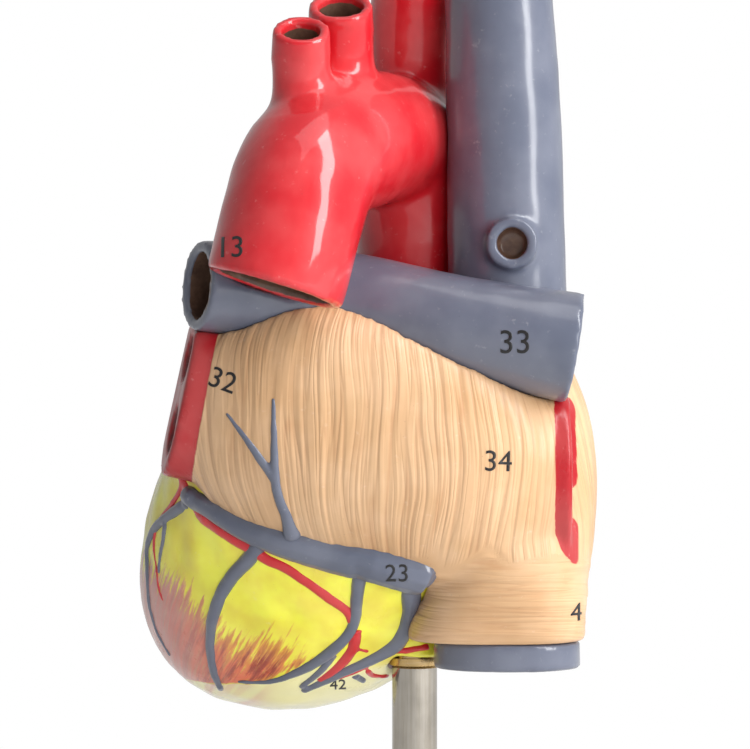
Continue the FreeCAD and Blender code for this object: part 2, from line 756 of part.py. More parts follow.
def build_vein_collar(side, reach, outwards):
    """A collar at one end of the left atrium, its cut face turned outwards, and its two
    blind openings."""
    length = size("left_atrium_half_length")
    shares = [side * (1 + reach * part / length) for part in (0, 0.5, 1)]
    collar = skin(left_atrium_sections(shares))
    end = size("left_atrium_x") + side * (length + reach)
    middle = size("left_atrium_z") - size("left_atrium_fall") * side * length + size("vein_rise")
    outwards.normalize()
    corner = Vector(end, size("left_atrium_y") + 8, middle)
    keep_off = Part.makeBox(60, 120, 120, Vector(0, -60, -60))
    keep_off.Placement = Placement(corner, Rotation(ACROSS, outwards))
    holes = []
    for rise in (-size("vein_spacing") / 2, size("vein_spacing") / 2):
        mouth = corner + Vector(side * outwards.y * 11, -11, 0)
        mouth += Vector(-side * outwards.z * rise, 0, rise)
        deep = size("vein_recess")
        hole = Part.makeCylinder(size("vein_bore"), 2 * deep, mouth - outwards * deep, outwards)
        holes.append(hole)
    return collar.cut(keep_off), holes[0].fuse(holes[1])


def build_right_atrium_full():
    rows = [
        (-size("right_atrium_drop"), 31.8, -12, 0.89, 0.5, 2.7),
        (-33, 32, -12, 0.9, 0.56, 2.6),
        (-27, 33, -11, 0.87, 0.67, 2.3),
        (-15, 33, -6, 0.95, 0.87, 2.2),
        (-2, 33, 0, 1, 0.93, 2.2),
        (13, 33, 4, 0.93, 0.83, 2.2),
        (25, 32, 3, 0.74, 0.6, 2.2),
        (33, 32, 0, 0.6, 0.43, 2.2),
    ]
    half_width, half_depth = size("right_atrium_half_width"), size("right_atrium_half_depth")
    wires = []
    for z, x, y, width, depth, square in rows:
        centre = Vector(x, y, z)
        wires.append(section(centre, ACROSS, DEEP, half_width * width, half_depth * depth, square))
    return skin(wires)


def build_upper_vein_full():
    """The superior vena cava, with the stump of the azygos vein."""
    x, y = size("upper_vein_x"), size("upper_vein_y")
    radius, top = size("upper_vein_radius"), size("upper_vein_top")
    path = [(x + 1.2, y + 1, 28), (x + 0.6, y, 55), (x, y, 80), (x - 1.2, y, top)]
    radii = [radius * share for share in (1.1, 1.08, 1.06, 0.98)]
    parts = [tube(path, radii, 8)]
    bores = [tube(path, [r - size("vessel_wall") for r in radii], 3, 0.82, 1.0)]
    azygos = [(x + 1.3, y - radius * share, 49.7) for share in (0, 0.7, 1.33)]
    stump = [size("azygos_radius")] * 3
    parts.append(tube(azygos, stump, 3))
    bores.append(tube(azygos, [size("azygos_bore")] * 3, 3, 0.75, 1.0))
    return parts, bores


def build_lower_vein():
    """The inferior vena cava, a short ring open below."""
    half_width, half_depth = size("lower_vein_half_width"), size("lower_vein_half_depth")
    wall = size("vessel_wall")
    top = -size("right_atrium_drop")
    low = top - size("lower_vein_length")
    outer, inner = [], []
    for z in (top, (top + low) / 2, low):
        outer.append(section(Vector(34, -14, z), ACROSS, DEEP, half_width, half_depth, 2.2))
    for z in (top, (top + low) / 2, low - 1):
        inner.append(
            section(Vector(34, -14, z), ACROSS, DEEP, half_width - wall, half_depth - wall, 2.2)
        )
    return skin(outer), skin(inner)


def joined(shapes):
    """Shapes given from the ring, as one shape in the row frame."""
    whole = shapes[0].fuse(shapes[1:]) if len(shapes) > 1 else shapes[0]
    return set_in(RING_FRAME, whole)


def less(shape, *tools):
    for tool in tools:
        shape = shape.cut(tool)
    return shape


def build_base_of_heart(outside, socket):
    """The atria and great vessels, each trimmed to sit on its neighbours."""
    aorta_parts, aorta_bores = build_aorta_full()
    aorta, aorta_holes = joined(aorta_parts), joined(aorta_bores)
    lung_parts, lung_bores = build_lung_artery_full()
    lung, lung_holes = joined(lung_parts), joined(lung_bores)
    left = set_in(RING_FRAME, build_left_atrium_full())
    right = set_in(RING_FRAME, build_right_atrium_full())
    upper_parts, upper_bores = build_upper_vein_full()
    upper, upper_holes = joined(upper_parts), joined(upper_bores)
    slanted = Vector(-1, -size("collar_slant"), size("collar_tilt"))
    left_shapes = build_vein_collar(-1, size("left_collar"), slanted)
    right_shapes = build_vein_collar(1, size("right_collar"), Vector(1, 0, 0))
    left_collar, left_mouths = (set_in(RING_FRAME, shape) for shape in left_shapes)
    right_collar, right_mouths = (set_in(RING_FRAME, shape) for shape in right_shapes)
    ring, ring_hole = build_lower_vein()
    lower = set_in(RING_FRAME, ring.cut(ring_hole))
    piece("aorta", less(aorta, outside, aorta_holes))
    piece("pulmonary_arteries", less(lung, outside, aorta, lung_holes))
    piece("left_atrium", less(left, outside, aorta, lung))
    piece("right_atrium", less(right, outside, aorta, lung, left, right_collar, *socket))
    piece("superior_vena_cava", less(upper, left, right, lung, aorta, upper_holes))
    piece("left_pulmonary_veins", less(left_collar, lung, outside, left_mouths))
    piece("right_pulmonary_veins", less(right_collar, lung, right_mouths))
    piece("inferior_vena_cava", less(lower, outside, *socket))
    left_ear = [(-26, -9, 21), (-25, 5, 20), (-19, 18, 17)]
    right_ear = [(33, 17, 21), (25, 27, 20), (15, 29, 21)]
    left_ear = set_in(RING_FRAME, tube(left_ear, (6, 10.5, 9, 3.5), 8))
    right_ear = set_in(RING_FRAME, tube(right_ear, (9, 10, 7, 3.5), 8))
    piece("left_auricle", less(left_ear, outside, left, left_collar, lung))
    piece("right_auricle", less(right_ear, outside, right, aorta, lung))
    return left, right, left_collar, left_ear, aorta, lung


# ---------------------------------------------------------------- valves and papillary muscles


def inlet_valve(u, v, radius, leaflets, first):
    """A funnel of leaflets hanging from the chamber roof, notched between the leaflets."""
    thick, length = size("leaflet_thickness"), size("leaflet_length")
    narrow = radius * 0.62
    top = Vector(u, v, ROOF - length)
    funnel = Part.makeCone(narrow, radius, length, top)
    inside = Part.makeCone(narrow - thick, radius - thick, length, top)
    valve = funnel.cut(inside)
    for number in range(leaflets):
        turn = math.radians(first + 360 * number / leaflets)
        outwards = Vector(math.cos(turn), math.sin(turn), 0)
        valve = valve.cut(Part.makeCylinder(2.4, 2 * radius, top, outwards))
    return set_in(TILTED_FRAME, valve)


def outlet_valve(u, v, radius):
    """A ring in the chamber roof with three closed cusps below it."""
    rim = 1.6
    valve = Part.makeCylinder(radius, rim, Vector(u, v, ROOF - rim))
    for number in range(3):
        turn = math.radians(30 + 120 * number)
        place = Vector(math.cos(turn), math.sin(turn), 0) * (radius * 0.46)
        cusp = Part.makeSphere(radius * 0.47, Vector(u, v, ROOF - rim) + place)
        below = Part.makeBox(4 * radius, 4 * radius, 2 * radius)
        below.translate(Vector(u - 2 * radius, v - 2 * radius, ROOF - rim / 2 - 2 * radius))
        valve = valve.fuse(cusp.common(below))
    return set_in(TILTED_FRAME, valve)


def muscle(foot, tip, radius):
    """A papillary muscle from the chamber wall to its tip, in the tilted frame."""
    foot, tip = Vector(*foot), Vector(*tip)
    middle = (foot + tip) * 0.5 + Vector(0, -0.6, 0)
    return set_in(TILTED_FRAME, tube([foot, middle, tip], (radius, radius * 0.8, 1.6), 5))


def cord(start, end):
    """A tendinous cord between two points of the tilted frame."""
    start, end = Vector(*start), Vector(*end)
    along = end - start
    rod = Part.makeCylinder(size("cord_radius"), along.Length, start, along)
    return set_in(TILTED_FRAME, rod)


LEFT_MUSCLES = [((-27, -8, -49), (-20.5, -7, -28), 4.2), ((-9, -9, -46), (-13.5, -7.5, -28), 3.8)]
RIGHT_MUSCLES = [((14, -3, -42), (19.5, 2, -26), 3.6), ((4, 1, -38), (12.5, 3, -24.5), 2.8)]
LEFT_CORDS = [
    ((-22.3, -7.6, -15.5), (-21, -7.2, -30)),
    ((-20.5, -9.2, -15.5), (-20.2, -7.4, -30)),
    ((-14, -7.9, -15.5), (-13.2, -7.6, -30)),
    ((-15.8, -9.4, -15.5), (-13.8, -7.8, -30)),
]
RIGHT_CORDS = [
    ((24.4, 3.2, -15.5), (19.9, 2, -28)),
    ((21.6, 1.1, -15.5), (19.2, 1.8, -28)),
    ((16.4, 3, -15.5), (12.8, 3, -26.5)),
    ((18.4, 1.4, -15.5), (13, 2.6, -26.5)),
]


def build_valves(outside, left_chamber, right_chamber):
    """The four valves, the muscles that hold the inlet valves and the cords between them."""
    mitral = inlet_valve(-18, -5, size("mitral_radius"), 2, 90)
    tricuspid = inlet_valve(20.5, 5, size("tricuspid_radius"), 3, 30)
    piece("mitral_valve", mitral)
    piece("tricuspid_valve", tricuspid)
    piece("aortic_valve", outlet_valve(-5, 5, size("aortic_valve_radius")))
    piece("pulmonary_valve", outlet_valve(-7, 23, size("lung_valve_radius")))
    rows = [
        ("left", left_chamber, mitral, LEFT_MUSCLES, LEFT_CORDS),
        ("right", right_chamber, tricuspid, RIGHT_MUSCLES, RIGHT_CORDS),
    ]
    for side, chamber, valve, muscles, cords in rows:
        pillars = [muscle(*row).common(chamber) for row in muscles]
        piece(f"{side}_papillary_muscles", Part.makeCompound(pillars), len(pillars))
        strings = [less(cord(*row), valve, *pillars) for row in cords]
        strings = [max(string.Solids, key=lambda solid: solid.Volume) for string in strings]
        piece(f"{side}_tendinous_cords", Part.makeCompound(strings), len(strings))


# ---------------------------------------------------------------- coronary vessels


def back_points(body, spots, stretch=1):
    """Points on a body's back, given as x and z from the valve ring, with z drawn out."""
    points = []
    reach = 4 * size("ventricle_half_width")
    for x, z in spots:
        start = RING + Vector(x, -reach, z * stretch)
        chord = Part.makeLine(start, start + Vector(0, 2 * reach, 0)).common(body)
        points.append(Vector(start.x, chord.BoundBox.YMin, start.z))
    return points


def rear_points(outside, spots):
    """Points on the ventricles' back, which follow the ventricles when they are longer."""
    return back_points(outside, spots, size("ventricle_length") / ROUTE_LENGTH)


def skin_points(spots):
    """Points on the ventricles, given as turn and depth below the ring."""
    return [TILTED_FRAME.multVec(wall_point(*spot)) for spot in spots]


# The routes below are drawn for ventricles of this length, from ring to apex.
ROUTE_LENGTH = 65
SINUS = [(-35, -5), (-26, -8.8), (-18.4, -13), (-10.8, -15.4), (0, -18.5), (10.6, -21.6), (16, -23.6)]
OBLIQUE_STEM = [(-12.8, -14), (-15.1, -5.2), (-16.2, 2), (-16.1, 7.6), (-16.3, 16.4)]
OBLIQUE_SIDE = [(-16.1, -0.9), (-18.7, 2.9), (-22.3, 7.9), (-26.4, 13.2)]
LEFT_VENTRICLE_VEIN = [(-19, -15), (-22.9, -19.5), (-27, -24.8), (-30, -31), (-31.2, -37)]
LEFT_VENTRICLE_VEIN += [(-31, -42), (-29.5, -46.5)]
CROSSING_VEIN = [(2.4, -21.5), (1.1, -28.4), (0.2, -34.6), (-2, -40), (-6.9, -44), (-12.5, -46.5)]
CROSSING_VEIN += [(-19.5, -48)]
MIDDLE_VEIN = [(15.2, -25), (13.3, -31), (11.6, -35), (8.3, -38.4), (3, -42.6), (-2.6, -46.5)]
MARGIN_VEIN = [(-36, -7), (-41, -12), (-44, -17.5), (-45, -25), (-44, -33), (-41.5, -40)]
MARGIN_VEIN += [(-38, -46)]
BACK_ARTERY = [(-28.2, -11.6), (-20.6, -16.2), (-17.3, -18), (-10.9, -22.1), (-4.5, -27.2)]
BACK_ARTERY += [(-0.4, -31.4)]
DESCENDING_ARTERY = [(0.6, -32.5), (1.2, -36.5), (0.4, -39.5), (-2.5, -42.8), (-6, -46)]
LEFT_GROOVE = [(122, 4), (140, 3), (160, 3), (180, 4), (197, 5)]
RIGHT_GROOVE = [(78, 0), (62, 2), (45, 5), (30, 7), (17, 7.6)]
FRONT_VESSELS = [
    ("anterior_descending_artery", [(106, 12), (103, 24), (103, 38), (109, 50), (118, 57)], 1.8, 0.8),
    ("great_cardiac_vein", [(113, 12.2), (110, 24), (111, 38), (118, 49)], 1.8, 0.8),
    ("diagonal_artery", [(117.5, 18), (128, 26), (137, 36), (141, 46)], 1.2, 0.8),
    ("right_marginal_artery", [(30, 12), (38, 22), (49, 34), (64, 46)], 1.5, 0.8),
    ("anterior_cardiac_vein", [(60, 12), (64, 22), (70, 34), (79, 43)], 1.4, 0.7),
]


def build_vessels(outside, left, *neighbours):
    """Coronary vessels, half sunk in the skin and each trimmed by those laid before it."""
    laid = [outside, left, *neighbours]

    def lay(label, path, radii, side=None, side_radii=None, solids=1):
        whole = tube(path, radii, 14)
        if side:
            whole = whole.fuse(tube(side, side_radii, 6))
        piece(label, less(whole, *laid), solids)
        laid.append(whole)

    lay("coronary_sinus", rear_points(outside, SINUS), (1.8, 2.4, 3, 3.6, 4.3, 4.7, 4.4))
    stem, side = back_points(left, OBLIQUE_STEM), back_points(left, OBLIQUE_SIDE)
    lay("left_atrial_vein", stem, (1.6, 1.4, 1.2, 0.6), side, (1.3, 1, 0.6))
    lay("left_ventricular_vein", rear_points(outside, LEFT_VENTRICLE_VEIN), (1.9, 1.7, 1.6, 1))
    lay("posterior_ventricular_vein", rear_points(outside, CROSSING_VEIN), (1.9, 1.7, 1.3, 0.8))
    lay("middle_cardiac_vein", rear_points(outside, MIDDLE_VEIN), (2, 1.8, 1.4, 0.9))
    lay("left_marginal_vein", rear_points(outside, MARGIN_VEIN), (1.6, 1.4, 1.2, 0.8))
    around = skin_points(LEFT_GROOVE) + rear_points(outside, BACK_ARTERY)
    lay("circumflex_artery", around, (1.7, 1.6, 1.6, 1.6, 1.6, 1.3), solids=3)
    descending = rear_points(outside, DESCENDING_ARTERY)
    lay("posterior_descending_artery", descending, (1.3, 1.2, 0.9))
    lay("right_coronary_artery", skin_points(RIGHT_GROOVE), (1.8, 1.7, 1.6))
    for label, spots, first, last in FRONT_VESSELS:
        lay(label, skin_points(spots), (first, first * 0.88, last))


build_base_shell()
build_base_plate()
build_base_pad()
build_stand_rod()
build_rod_fixings()
build_socket_sleeve()
outside = set_in(
    TILTED_FRAME, blunt_cone(HALF_WIDTH, HALF_DEPTH, 0, -LENGTH, shoulder=SHOULDER)
)
left_chamber, right_chamber = build_chambers()
boss, neck, socket = build_socket()
build_ventricles(outside, left_chamber, right_chamber, boss, neck, socket)
base_shapes = build_base_of_heart(outside, [neck] + socket)
build_valves(outside, left_chamber, right_chamber)
build_vessels(outside, *base_shapes)


# ---------------------------------------------------------------- export


def export_subparts():
    """Checks every object of the document, then writes one file per piece."""
    doc.recompute()
    for item in doc.Objects:
        if "Invalid" in item.State or "Error" in item.State:
            raise ValueError(f"{item.Label} failed: {item.State}")
    os.makedirs("parts", exist_ok=True)
    for item in SUBPARTS:
        shape = item.Shape
        if shape.isNull() or not shape.isValid() or not shape.Solids:
            raise ValueError(f"{item.Label} isn't a valid solid")
        shape.exportStep(f"parts/{item.Label}.step")
        print(f"{item.Label}: {len(shape.Solids)} solid(s), {shape.Volume / 1000:.2f} cm3")


export_subparts()
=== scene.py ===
"""A classroom model of the human heart on a rod stand, with its painted and varnished finish."""

import math
from contextlib import contextmanager

import bmesh
import bpy
import numpy as np
from bpy.props import FloatProperty, FloatVectorProperty, IntProperty, PointerProperty
from mathutils import Matrix, Vector, noise
from mathutils.bvhtree import BVHTree


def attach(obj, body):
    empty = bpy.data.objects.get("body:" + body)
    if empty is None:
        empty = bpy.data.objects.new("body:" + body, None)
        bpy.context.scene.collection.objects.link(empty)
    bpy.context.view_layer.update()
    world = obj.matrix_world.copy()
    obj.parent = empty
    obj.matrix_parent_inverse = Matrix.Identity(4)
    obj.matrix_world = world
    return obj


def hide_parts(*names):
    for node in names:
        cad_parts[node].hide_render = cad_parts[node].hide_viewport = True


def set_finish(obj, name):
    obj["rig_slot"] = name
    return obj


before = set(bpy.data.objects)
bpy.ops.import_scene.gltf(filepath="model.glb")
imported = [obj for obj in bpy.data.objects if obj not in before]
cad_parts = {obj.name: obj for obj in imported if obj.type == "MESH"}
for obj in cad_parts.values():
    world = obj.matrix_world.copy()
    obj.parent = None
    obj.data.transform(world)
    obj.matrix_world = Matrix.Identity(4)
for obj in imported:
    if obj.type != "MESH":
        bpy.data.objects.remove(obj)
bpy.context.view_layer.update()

bl_info = {
    "name": "Heart anatomy model",
    "version": (1, 0, 0),
    "blender": (4, 5, 0),
    "location": "View3D > Sidebar > Heart model",
    "description": "Builds the painted castings, coronary vessels, stand and studio of a heart model",
    "category": "Add Mesh",
}

MM = 0.001

# The valve ring's centre in mm, and the heart's own directions: patient's right, front and up.
RING = Vector((-14, 2, 127))
TILT = Matrix.Rotation(math.radians(32), 3, "X") @ Matrix.Rotation(math.radians(19), 3, "Y")
HALF_WIDTH, HALF_DEPTH, LENGTH, TAPER, DRIFT = 40, 34, 65, 2.6, 9
# Depth of the parting plane in front of the ring, and the gap that the wall keeps from it, in mm.
PARTING, GAP = 6, 0.3


# ---- settings


def colour(name, default, description):
    return FloatVectorProperty(
        name=name, description=description, default=default, size=3, subtype="COLOR", min=0, max=1
    )


def number(name, default, description, **limits):
    return FloatProperty(name=name, description=description, default=default, **limits)


class HeartPaint(bpy.types.PropertyGroup):
    artery_red: colour("Artery red", (0.62, 0.010, 0.019), "Aorta, arteries and vein collars")
    vein_grey: colour("Vein blue-grey", (0.115, 0.131, 0.186), "Veins and lung arteries")
    atrium_beige: colour("Atrium beige", (0.675, 0.43, 0.24), "Both atria")
    fat_yellow: colour("Fat yellow", (1.0, 1.0, 0.07), "Fat between the coronary vessels")
    fat_cream: colour("Fat cream", (1.0, 0.95, 0.50), "Fat along the underside")
    muscle_red: colour("Muscle red-brown", (0.88, 0.19, 0.08), "Brushed muscle of the ventricles")
    # The muscle turns this pink towards its left margin: a painted reflection of the white room on the
    # grazing edge.
    muscle_reflection_pink: colour("Muscle pink", (0.72, 0.265, 0.225), "Muscle towards the left margin")
    lining_red: colour("Chamber lining", (0.50, 0.13, 0.09), "Inside of the chambers")
    recess_brown: colour("Recess brown", (0.075, 0.038, 0.026), "Inside of the cut vessels")
    valve_ivory: colour("Valve ivory", (0.82, 0.72, 0.50), "Valve leaflets and cords")
    ink_black: colour("Ink black", (0.012, 0.011, 0.012), "Printed index numbers")


class HeartRelief(bpy.types.PropertyGroup):
    casting_grid: number("Casting grid", 0.62, "Mesh size of the castings, in mm", min=0.3)
    vessel_grid: number("Vessel grid", 0.3, "Mesh size of the coronary vessels, in mm", min=0.2)
    fibre_height: number("Fibre height", 0.22, "Height of the atrial fibres, in mm", min=0)
    muscle_height: number("Muscle height", 0.16, "Height of the muscle's streaks, in mm", min=0)
    fat_height: number("Fat height", 0.45, "Height of the fat's lumps, in mm", min=0)
    ridge_height: number("Ridge height", 0.9, "Height of the chambers' ridges, in mm", min=0)
    number_height: number("Number height", 4.3, "Height of the printed numbers, in mm", min=1)


class StandFinish(bpy.types.PropertyGroup):
    rod_steel: colour("Rod steel", (0.40, 0.36, 0.30), "Ground stainless rod")
    plate_steel: colour("Plate steel", (0.36, 0.37, 0.39), "Zinc-plated ballast and fixings")
    sleeve_brass: colour("Sleeve brass", (0.62, 0.40, 0.13), "Turned brass sleeve")
    magnet_nickel: colour("Magnet nickel", (0.60, 0.59, 0.57), "Plated disc magnets")
    base_white: colour("Base white", (0.80, 0.79, 0.75), "Moulded base")
    pad_black: colour("Pad black", (0.022, 0.022, 0.024), "Foam pad under the base")


class StudioSettings(bpy.types.PropertyGroup):
    camera_distance: number("Camera distance", 0.7, "From the rod to the lens", unit="LENGTH")
    camera_height: number("Camera height", 0.1484, "Height of the lens", unit="LENGTH")
    camera_lens: number("Focal length", 151.2, "Lens, in mm", unit="CAMERA")
    key_power: number("Key lamp", 19.5, "Watts of the key lamp")
    side_power: number("Side lamp", 12.0, "Watts of the side lamp")
    fill_power: number("Fill lamp", 10.5, "Watts of the fill lamp")
    room_light: number("Room light", 0.15, "Strength of the room")
    lamp_count: IntProperty(name="Lamps", description="Lamps in the studio", default=4, min=1, max=4)


def settings(name):
    return getattr(bpy.context.scene, name)


# ---- shader helpers

# The colour sockets of a Mix node: factor, first and second colour, and the result.
MIX_INPUTS, MIX_RESULT = (0, 6, 7), 2


class Shade:
    """A value in a shader, so that sums with it are written as plain sums."""

    def __init__(self, socket):
        self.socket = socket

    def __add__(self, other):
        return maths("ADD", self, other)

    def __sub__(self, other):
        return maths("SUBTRACT", self, other)

    def __rsub__(self, other):
        return maths("SUBTRACT", other, self)

    def __mul__(self, other):
        return maths("MULTIPLY", self, other)


def tree_of(values):
    """The node tree that the first shader value among these is in."""
    return next(value.socket.id_data for value in values if isinstance(value, Shade))


def add(tree, kind, inputs=(), **values):
    """A shader node with its settings, and its inputs set or linked."""
    made = tree.nodes.new(kind)
    for key, value in values.items():
        setattr(made, key, value)
    for key, value in dict(inputs).items():
        socket = made.inputs[key]
        if isinstance(value, Shade):
            tree.links.new(value.socket, socket)
        else:
            socket.default_value = (*value, 1) if socket.type == "RGBA" else value
    return made


def worked(kind, output, inputs, **values):
    """One output of a node that works on at least one shader value."""
    return Shade(add(tree_of(inputs.values()), kind, inputs, **values).outputs[output])


def maths(operation, first, second=0.0):
    return worked("ShaderNodeMath", "Value", {0: first, 1: second}, operation=operation)


def scaled(vector, scale):
    """A pattern's coordinates, stretched by scale."""
    return worked("ShaderNodeMapping", "Vector", {"Vector": vector, "Scale": scale})


def cloud(vector, scale, detail=3.0, roughness=0.55, distortion=0.0):
    inputs = {"Vector": vector, "Scale": scale, "Detail": detail, "Roughness": roughness}
    return worked("ShaderNodeTexNoise", "Fac", {**inputs, "Distortion": distortion})


def ramp(value, low, high, from_value=0.0, to_value=1.0):
    """value carried smoothly from low..high to from_value..to_value."""
    inputs = {"Value": value, "From Min": low, "From Max": high}
    inputs.update({"To Min": from_value, "To Max": to_value})
    return worked("ShaderNodeMapRange", "Result", inputs, interpolation_type="SMOOTHSTEP", clamp=True)


def mixed(share, first, second, blend="MIX"):
    """Two colours mixed by share."""
    inputs = dict(zip(MIX_INPUTS, (share, first, second)))
    return worked("ShaderNodeMix", MIX_RESULT, inputs, data_type="RGBA", blend_type=blend)


def tinted(tone, by):
    """A colour times another one, whether it is plain or in a shader."""
    if isinstance(tone, Shade):
        return mixed(1.0, tone, by, "MULTIPLY")
    return tuple(one * other for one, other in zip(tone, by))


def shared(name, outputs, **inputs):
    """Turns a function of shader values into a node group, which each call places with its values.

    An input is a colour, a number or, where its default is None, a vector. An output is a number,
    but Colour is a colour.
    """

    def new_group(build):
        tree = bpy.data.node_groups.new(name, "ShaderNodeTree")
        for label, default in inputs.items():
            kind = "Vector" if default is None else "Float" if isinstance(default, float) else "Color"
            socket = tree.interface.new_socket(label, in_out="INPUT", socket_type="NodeSocket" + kind)
            if default is not None:
                socket.default_value = default
        for label in outputs:
            kind = "Color" if label == "Colour" else "Float"
            tree.interface.new_socket(label, in_out="OUTPUT", socket_type="NodeSocket" + kind)
        start = tree.nodes.new("NodeGroupInput")
        made = build(*[Shade(start.outputs[label]) for label in inputs])
        add(tree, "NodeGroupOutput", dict(zip(outputs, made)))
        return tree

    def wrap(build):
        def placed(*values):
            group = bpy.data.node_groups.get(name) or new_group(build)
            made = add(tree_of(values), "ShaderNodeGroup", zip(inputs, values), node_tree=group)
            return [Shade(made.outputs[label]) for label in outputs]

        return placed

    return wrap


def new_material(name):
    """An empty material and its coordinates, which are the object's own, in metres."""
    material = bpy.data.materials.new(name)
    material.use_nodes = True
    material.node_tree.nodes.clear()
    return material, Shade(add(material.node_tree, "ShaderNodeTexCoord").outputs["Object"])


def painted(material, name, output="Fac"):
    """A number stored on the piece's points, or a vector where output is Vector."""
    values = {"attribute_name": name, "attribute_type": "GEOMETRY"}
    return Shade(add(material.node_tree, "ShaderNodeAttribute", **values).outputs[output])


def finished(material, tone, rough, height, strength, distance, **fixed):
    """The material with its Principled shader; fixed gives what is the same all over."""
    bump = {"Height": height, "Strength": strength, "Distance": distance}
    inputs = {"Base Color": tone, "Roughness": rough}
    inputs["Normal"] = worked("ShaderNodeBump", "Normal", bump)
    inputs.update((key.replace("_", " "), value) for key, value in fixed.items())
    surface = Shade(add(material.node_tree, "ShaderNodeBsdfPrincipled", inputs).outputs["BSDF"])
    add(material.node_tree, "ShaderNodeOutputMaterial", {"Surface": surface})
    return material


# ---- shared effects

SKIN = ("Colour", "Roughness", "Height")


@shared("Brushed varnish", SKIN, Place=None, Colour=(0.8, 0.8, 0.8, 1), Fade=0.05, Roughness=0.25)
def varnish(place, colour, fade, roughness):
    """Brushed paint under varnish: mottled colour, smears in the gloss and a brush-marked skin."""
    broad = cloud(place, 75, 3, 0.5)
    fine = cloud(place, 620, 4, 0.6)
    lighter = mixed(fade, colour, (1.0, 0.93, 0.84))
    tone = mixed(ramp(broad, 0.34, 0.68), tinted(colour, (0.93, 0.92, 0.91)), lighter)
    tone = mixed(ramp(fine, 0.62, 0.78, 0, 0.10), tone, (0.96, 0.93, 0.88))
    specks = cloud(place, 2300, 2, 0.5)
    tone = mixed(ramp(specks, 0.735, 0.79, 0, 0.35), tone, (0.05, 0.03, 0.03))
    smear = cloud(scaled(place, (1, 1, 0.45)), 140, 4, 0.6)
    peel = cloud(place, 330, 2, 0.4)
    return tone, roughness + ramp(smear, 0.35, 0.75, 0.0, 0.14), peel * 0.8 + smear * 0.5


@shared("Moulded fibres", ("Groove", "Crest", "Height"), Along=None, Spacing=0.6)
def fibres(along, spacing):
    """Moulded fibres: thin grooves that run and meet between long rounded ridges."""

    def away_from_groove(size):
        return maths("ABSOLUTE", (cloud(along, size, 0.5, 0.4, 0.05) - 0.5) * 2)

    broad, fine = away_from_groove(spacing), away_from_groove(spacing * 1.9)
    soft = ramp(cloud(along, 0.11, 2), 0.38, 0.6)
    groove = ramp(broad, 0.10, 0.0) * ramp(soft, 0, 1, 0.35, 1)
    thin = ramp(fine, 0.09, 0.0) * ramp(soft, 1, 0, 0.15, 0.6)
    height = ramp(broad, 0.0, 0.3) + ramp(fine, 0.0, 0.25, 0, 0.45)
    return maths("MAXIMUM", groove, thin), ramp(broad, 0.16, 0.42), height


@shared(
    "Cut vessel end",
    ("Colour", "Mask"),
    Place=None,
    Recess=0.0,
    Paint=(0.8, 0.8, 0.8, 1),
    Inside=(0.1, 0.05, 0.03, 1),
)
def cut_end(place, recess, paint, inside):
    """The inside of a cut vessel, where the piece's recess value is above nought."""
    mask = ramp(recess + (cloud(place, 500) - 0.5) * 0.7, -0.12, 0.12)
    stain = ramp(cloud(place, 260, 4, 0.65), 0.3, 0.75)
    worn = tinted(inside, (2.1, 2.3, 2.2))
    return mixed(mask, paint, mixed(stain, inside, worn)), mask


@shared("Machined metal", SKIN, Place=None, Along=None, Colour=(0.5, 0.5, 0.5, 1), Roughness=0.25)
def machined(place, along, colour, roughness):
    """Ground or turned metal: fine lines, small scratches and dull patches."""
    lines = cloud(along, 900, 3, 0.7)
    patches = cloud(place, 120, 3, 0.55)
    scratch = ramp(cloud(scaled(place, (1.0, 1.0, 0.06)), 1500, 2, 0.5), 0.68, 0.76)
    dull = mixed(ramp(patches, 0.35, 0.7, 0, 0.15), colour, (0.16, 0.14, 0.12))
    tone = mixed(ramp(lines, 0.3, 0.7, 0.0, 0.18), dull, (0.85, 0.84, 0.82))
    rough = roughness + ramp(patches, 0.3, 0.7, 0, 0.16) + scratch * 0.12
    return tone, rough, lines - scratch * 0.6


# ---- materials

VARNISH = dict(Specular_IOR_Level=0.25, Coat_Weight=0.75, Coat_Roughness=0.07, Coat_IOR=1.5)


def painted_vessel(name, paint, inside, roughness=0.3, recess=True, coat=0.07):
    """Glossy painted PVC, brown inside its cut ends."""
    material, place = new_material(name)
    tone, rough, height = varnish(place, paint, 0.035, roughness)
    if recess:
        tone, mask = cut_end(place, painted(material, "recess"), tone, inside)
        rough = rough + mask * 0.35
    gloss = {**VARNISH, "Coat_Roughness": coat}
    return finished(material, tone, rough, height, 0.22, 0.00035, **gloss)


def atrium_material(paint):
    """Beige paint over moulded fibres with painted shade in the grooves and highlight on the crests, and
    the vein collars in a red darkened as painted shade.
    """
    material, place = new_material("beige_fibre_paint")
    along, strength = painted(material, "fibre_way", "Vector"), painted(material, "fibre_strength")
    beige = paint.atrium_beige
    beige = mixed(ramp(cloud(place, 55, 3, 0.5), 0.3, 0.7), beige, tinted(beige, (0.93, 0.88, 0.82)))
    groove, crest_highlight, ridges = fibres(along, 0.5)
    # Painted shade darkens the beige in the fibres' grooves, and a painted highlight lightens it on their
    # crests.
    tone = mixed(groove * (strength * 0.38), beige, tinted(beige, (0.72, 0.54, 0.42)))
    tone = mixed(crest_highlight * (strength * 0.5), tone, tinted(beige, (1.10, 1.12, 1.14)))
    edge = (cloud(along, 1.3, 3, 0.6, 0.3) - 0.5) * painted(material, "ragged")
    collar = ramp(painted(material, "collar") + edge, -0.16, 0.16)
    # The collars take the artery red darkened to two thirds: painted shade.
    tone = mixed(collar, tone, tinted(paint.artery_red, (0.66, 0.66, 0.66)))
    # The vein mouths inside the collars are painted a dark red: painted shade in the recesses.
    tone, _ = cut_end(place, painted(material, "recess"), tone, (0.17, 0.012, 0.014))
    tone, rough, skin = varnish(place, tone, 0.05, 0.36)
    height = ridges * ((1 - collar * 0.85) * strength) + skin * 0.12
    gloss = {**VARNISH, "Coat_Weight": 0.25, "Coat_Roughness": 0.16}
    return finished(material, tone, rough - collar * 0.1, height, 0.32, 0.0005, **gloss)


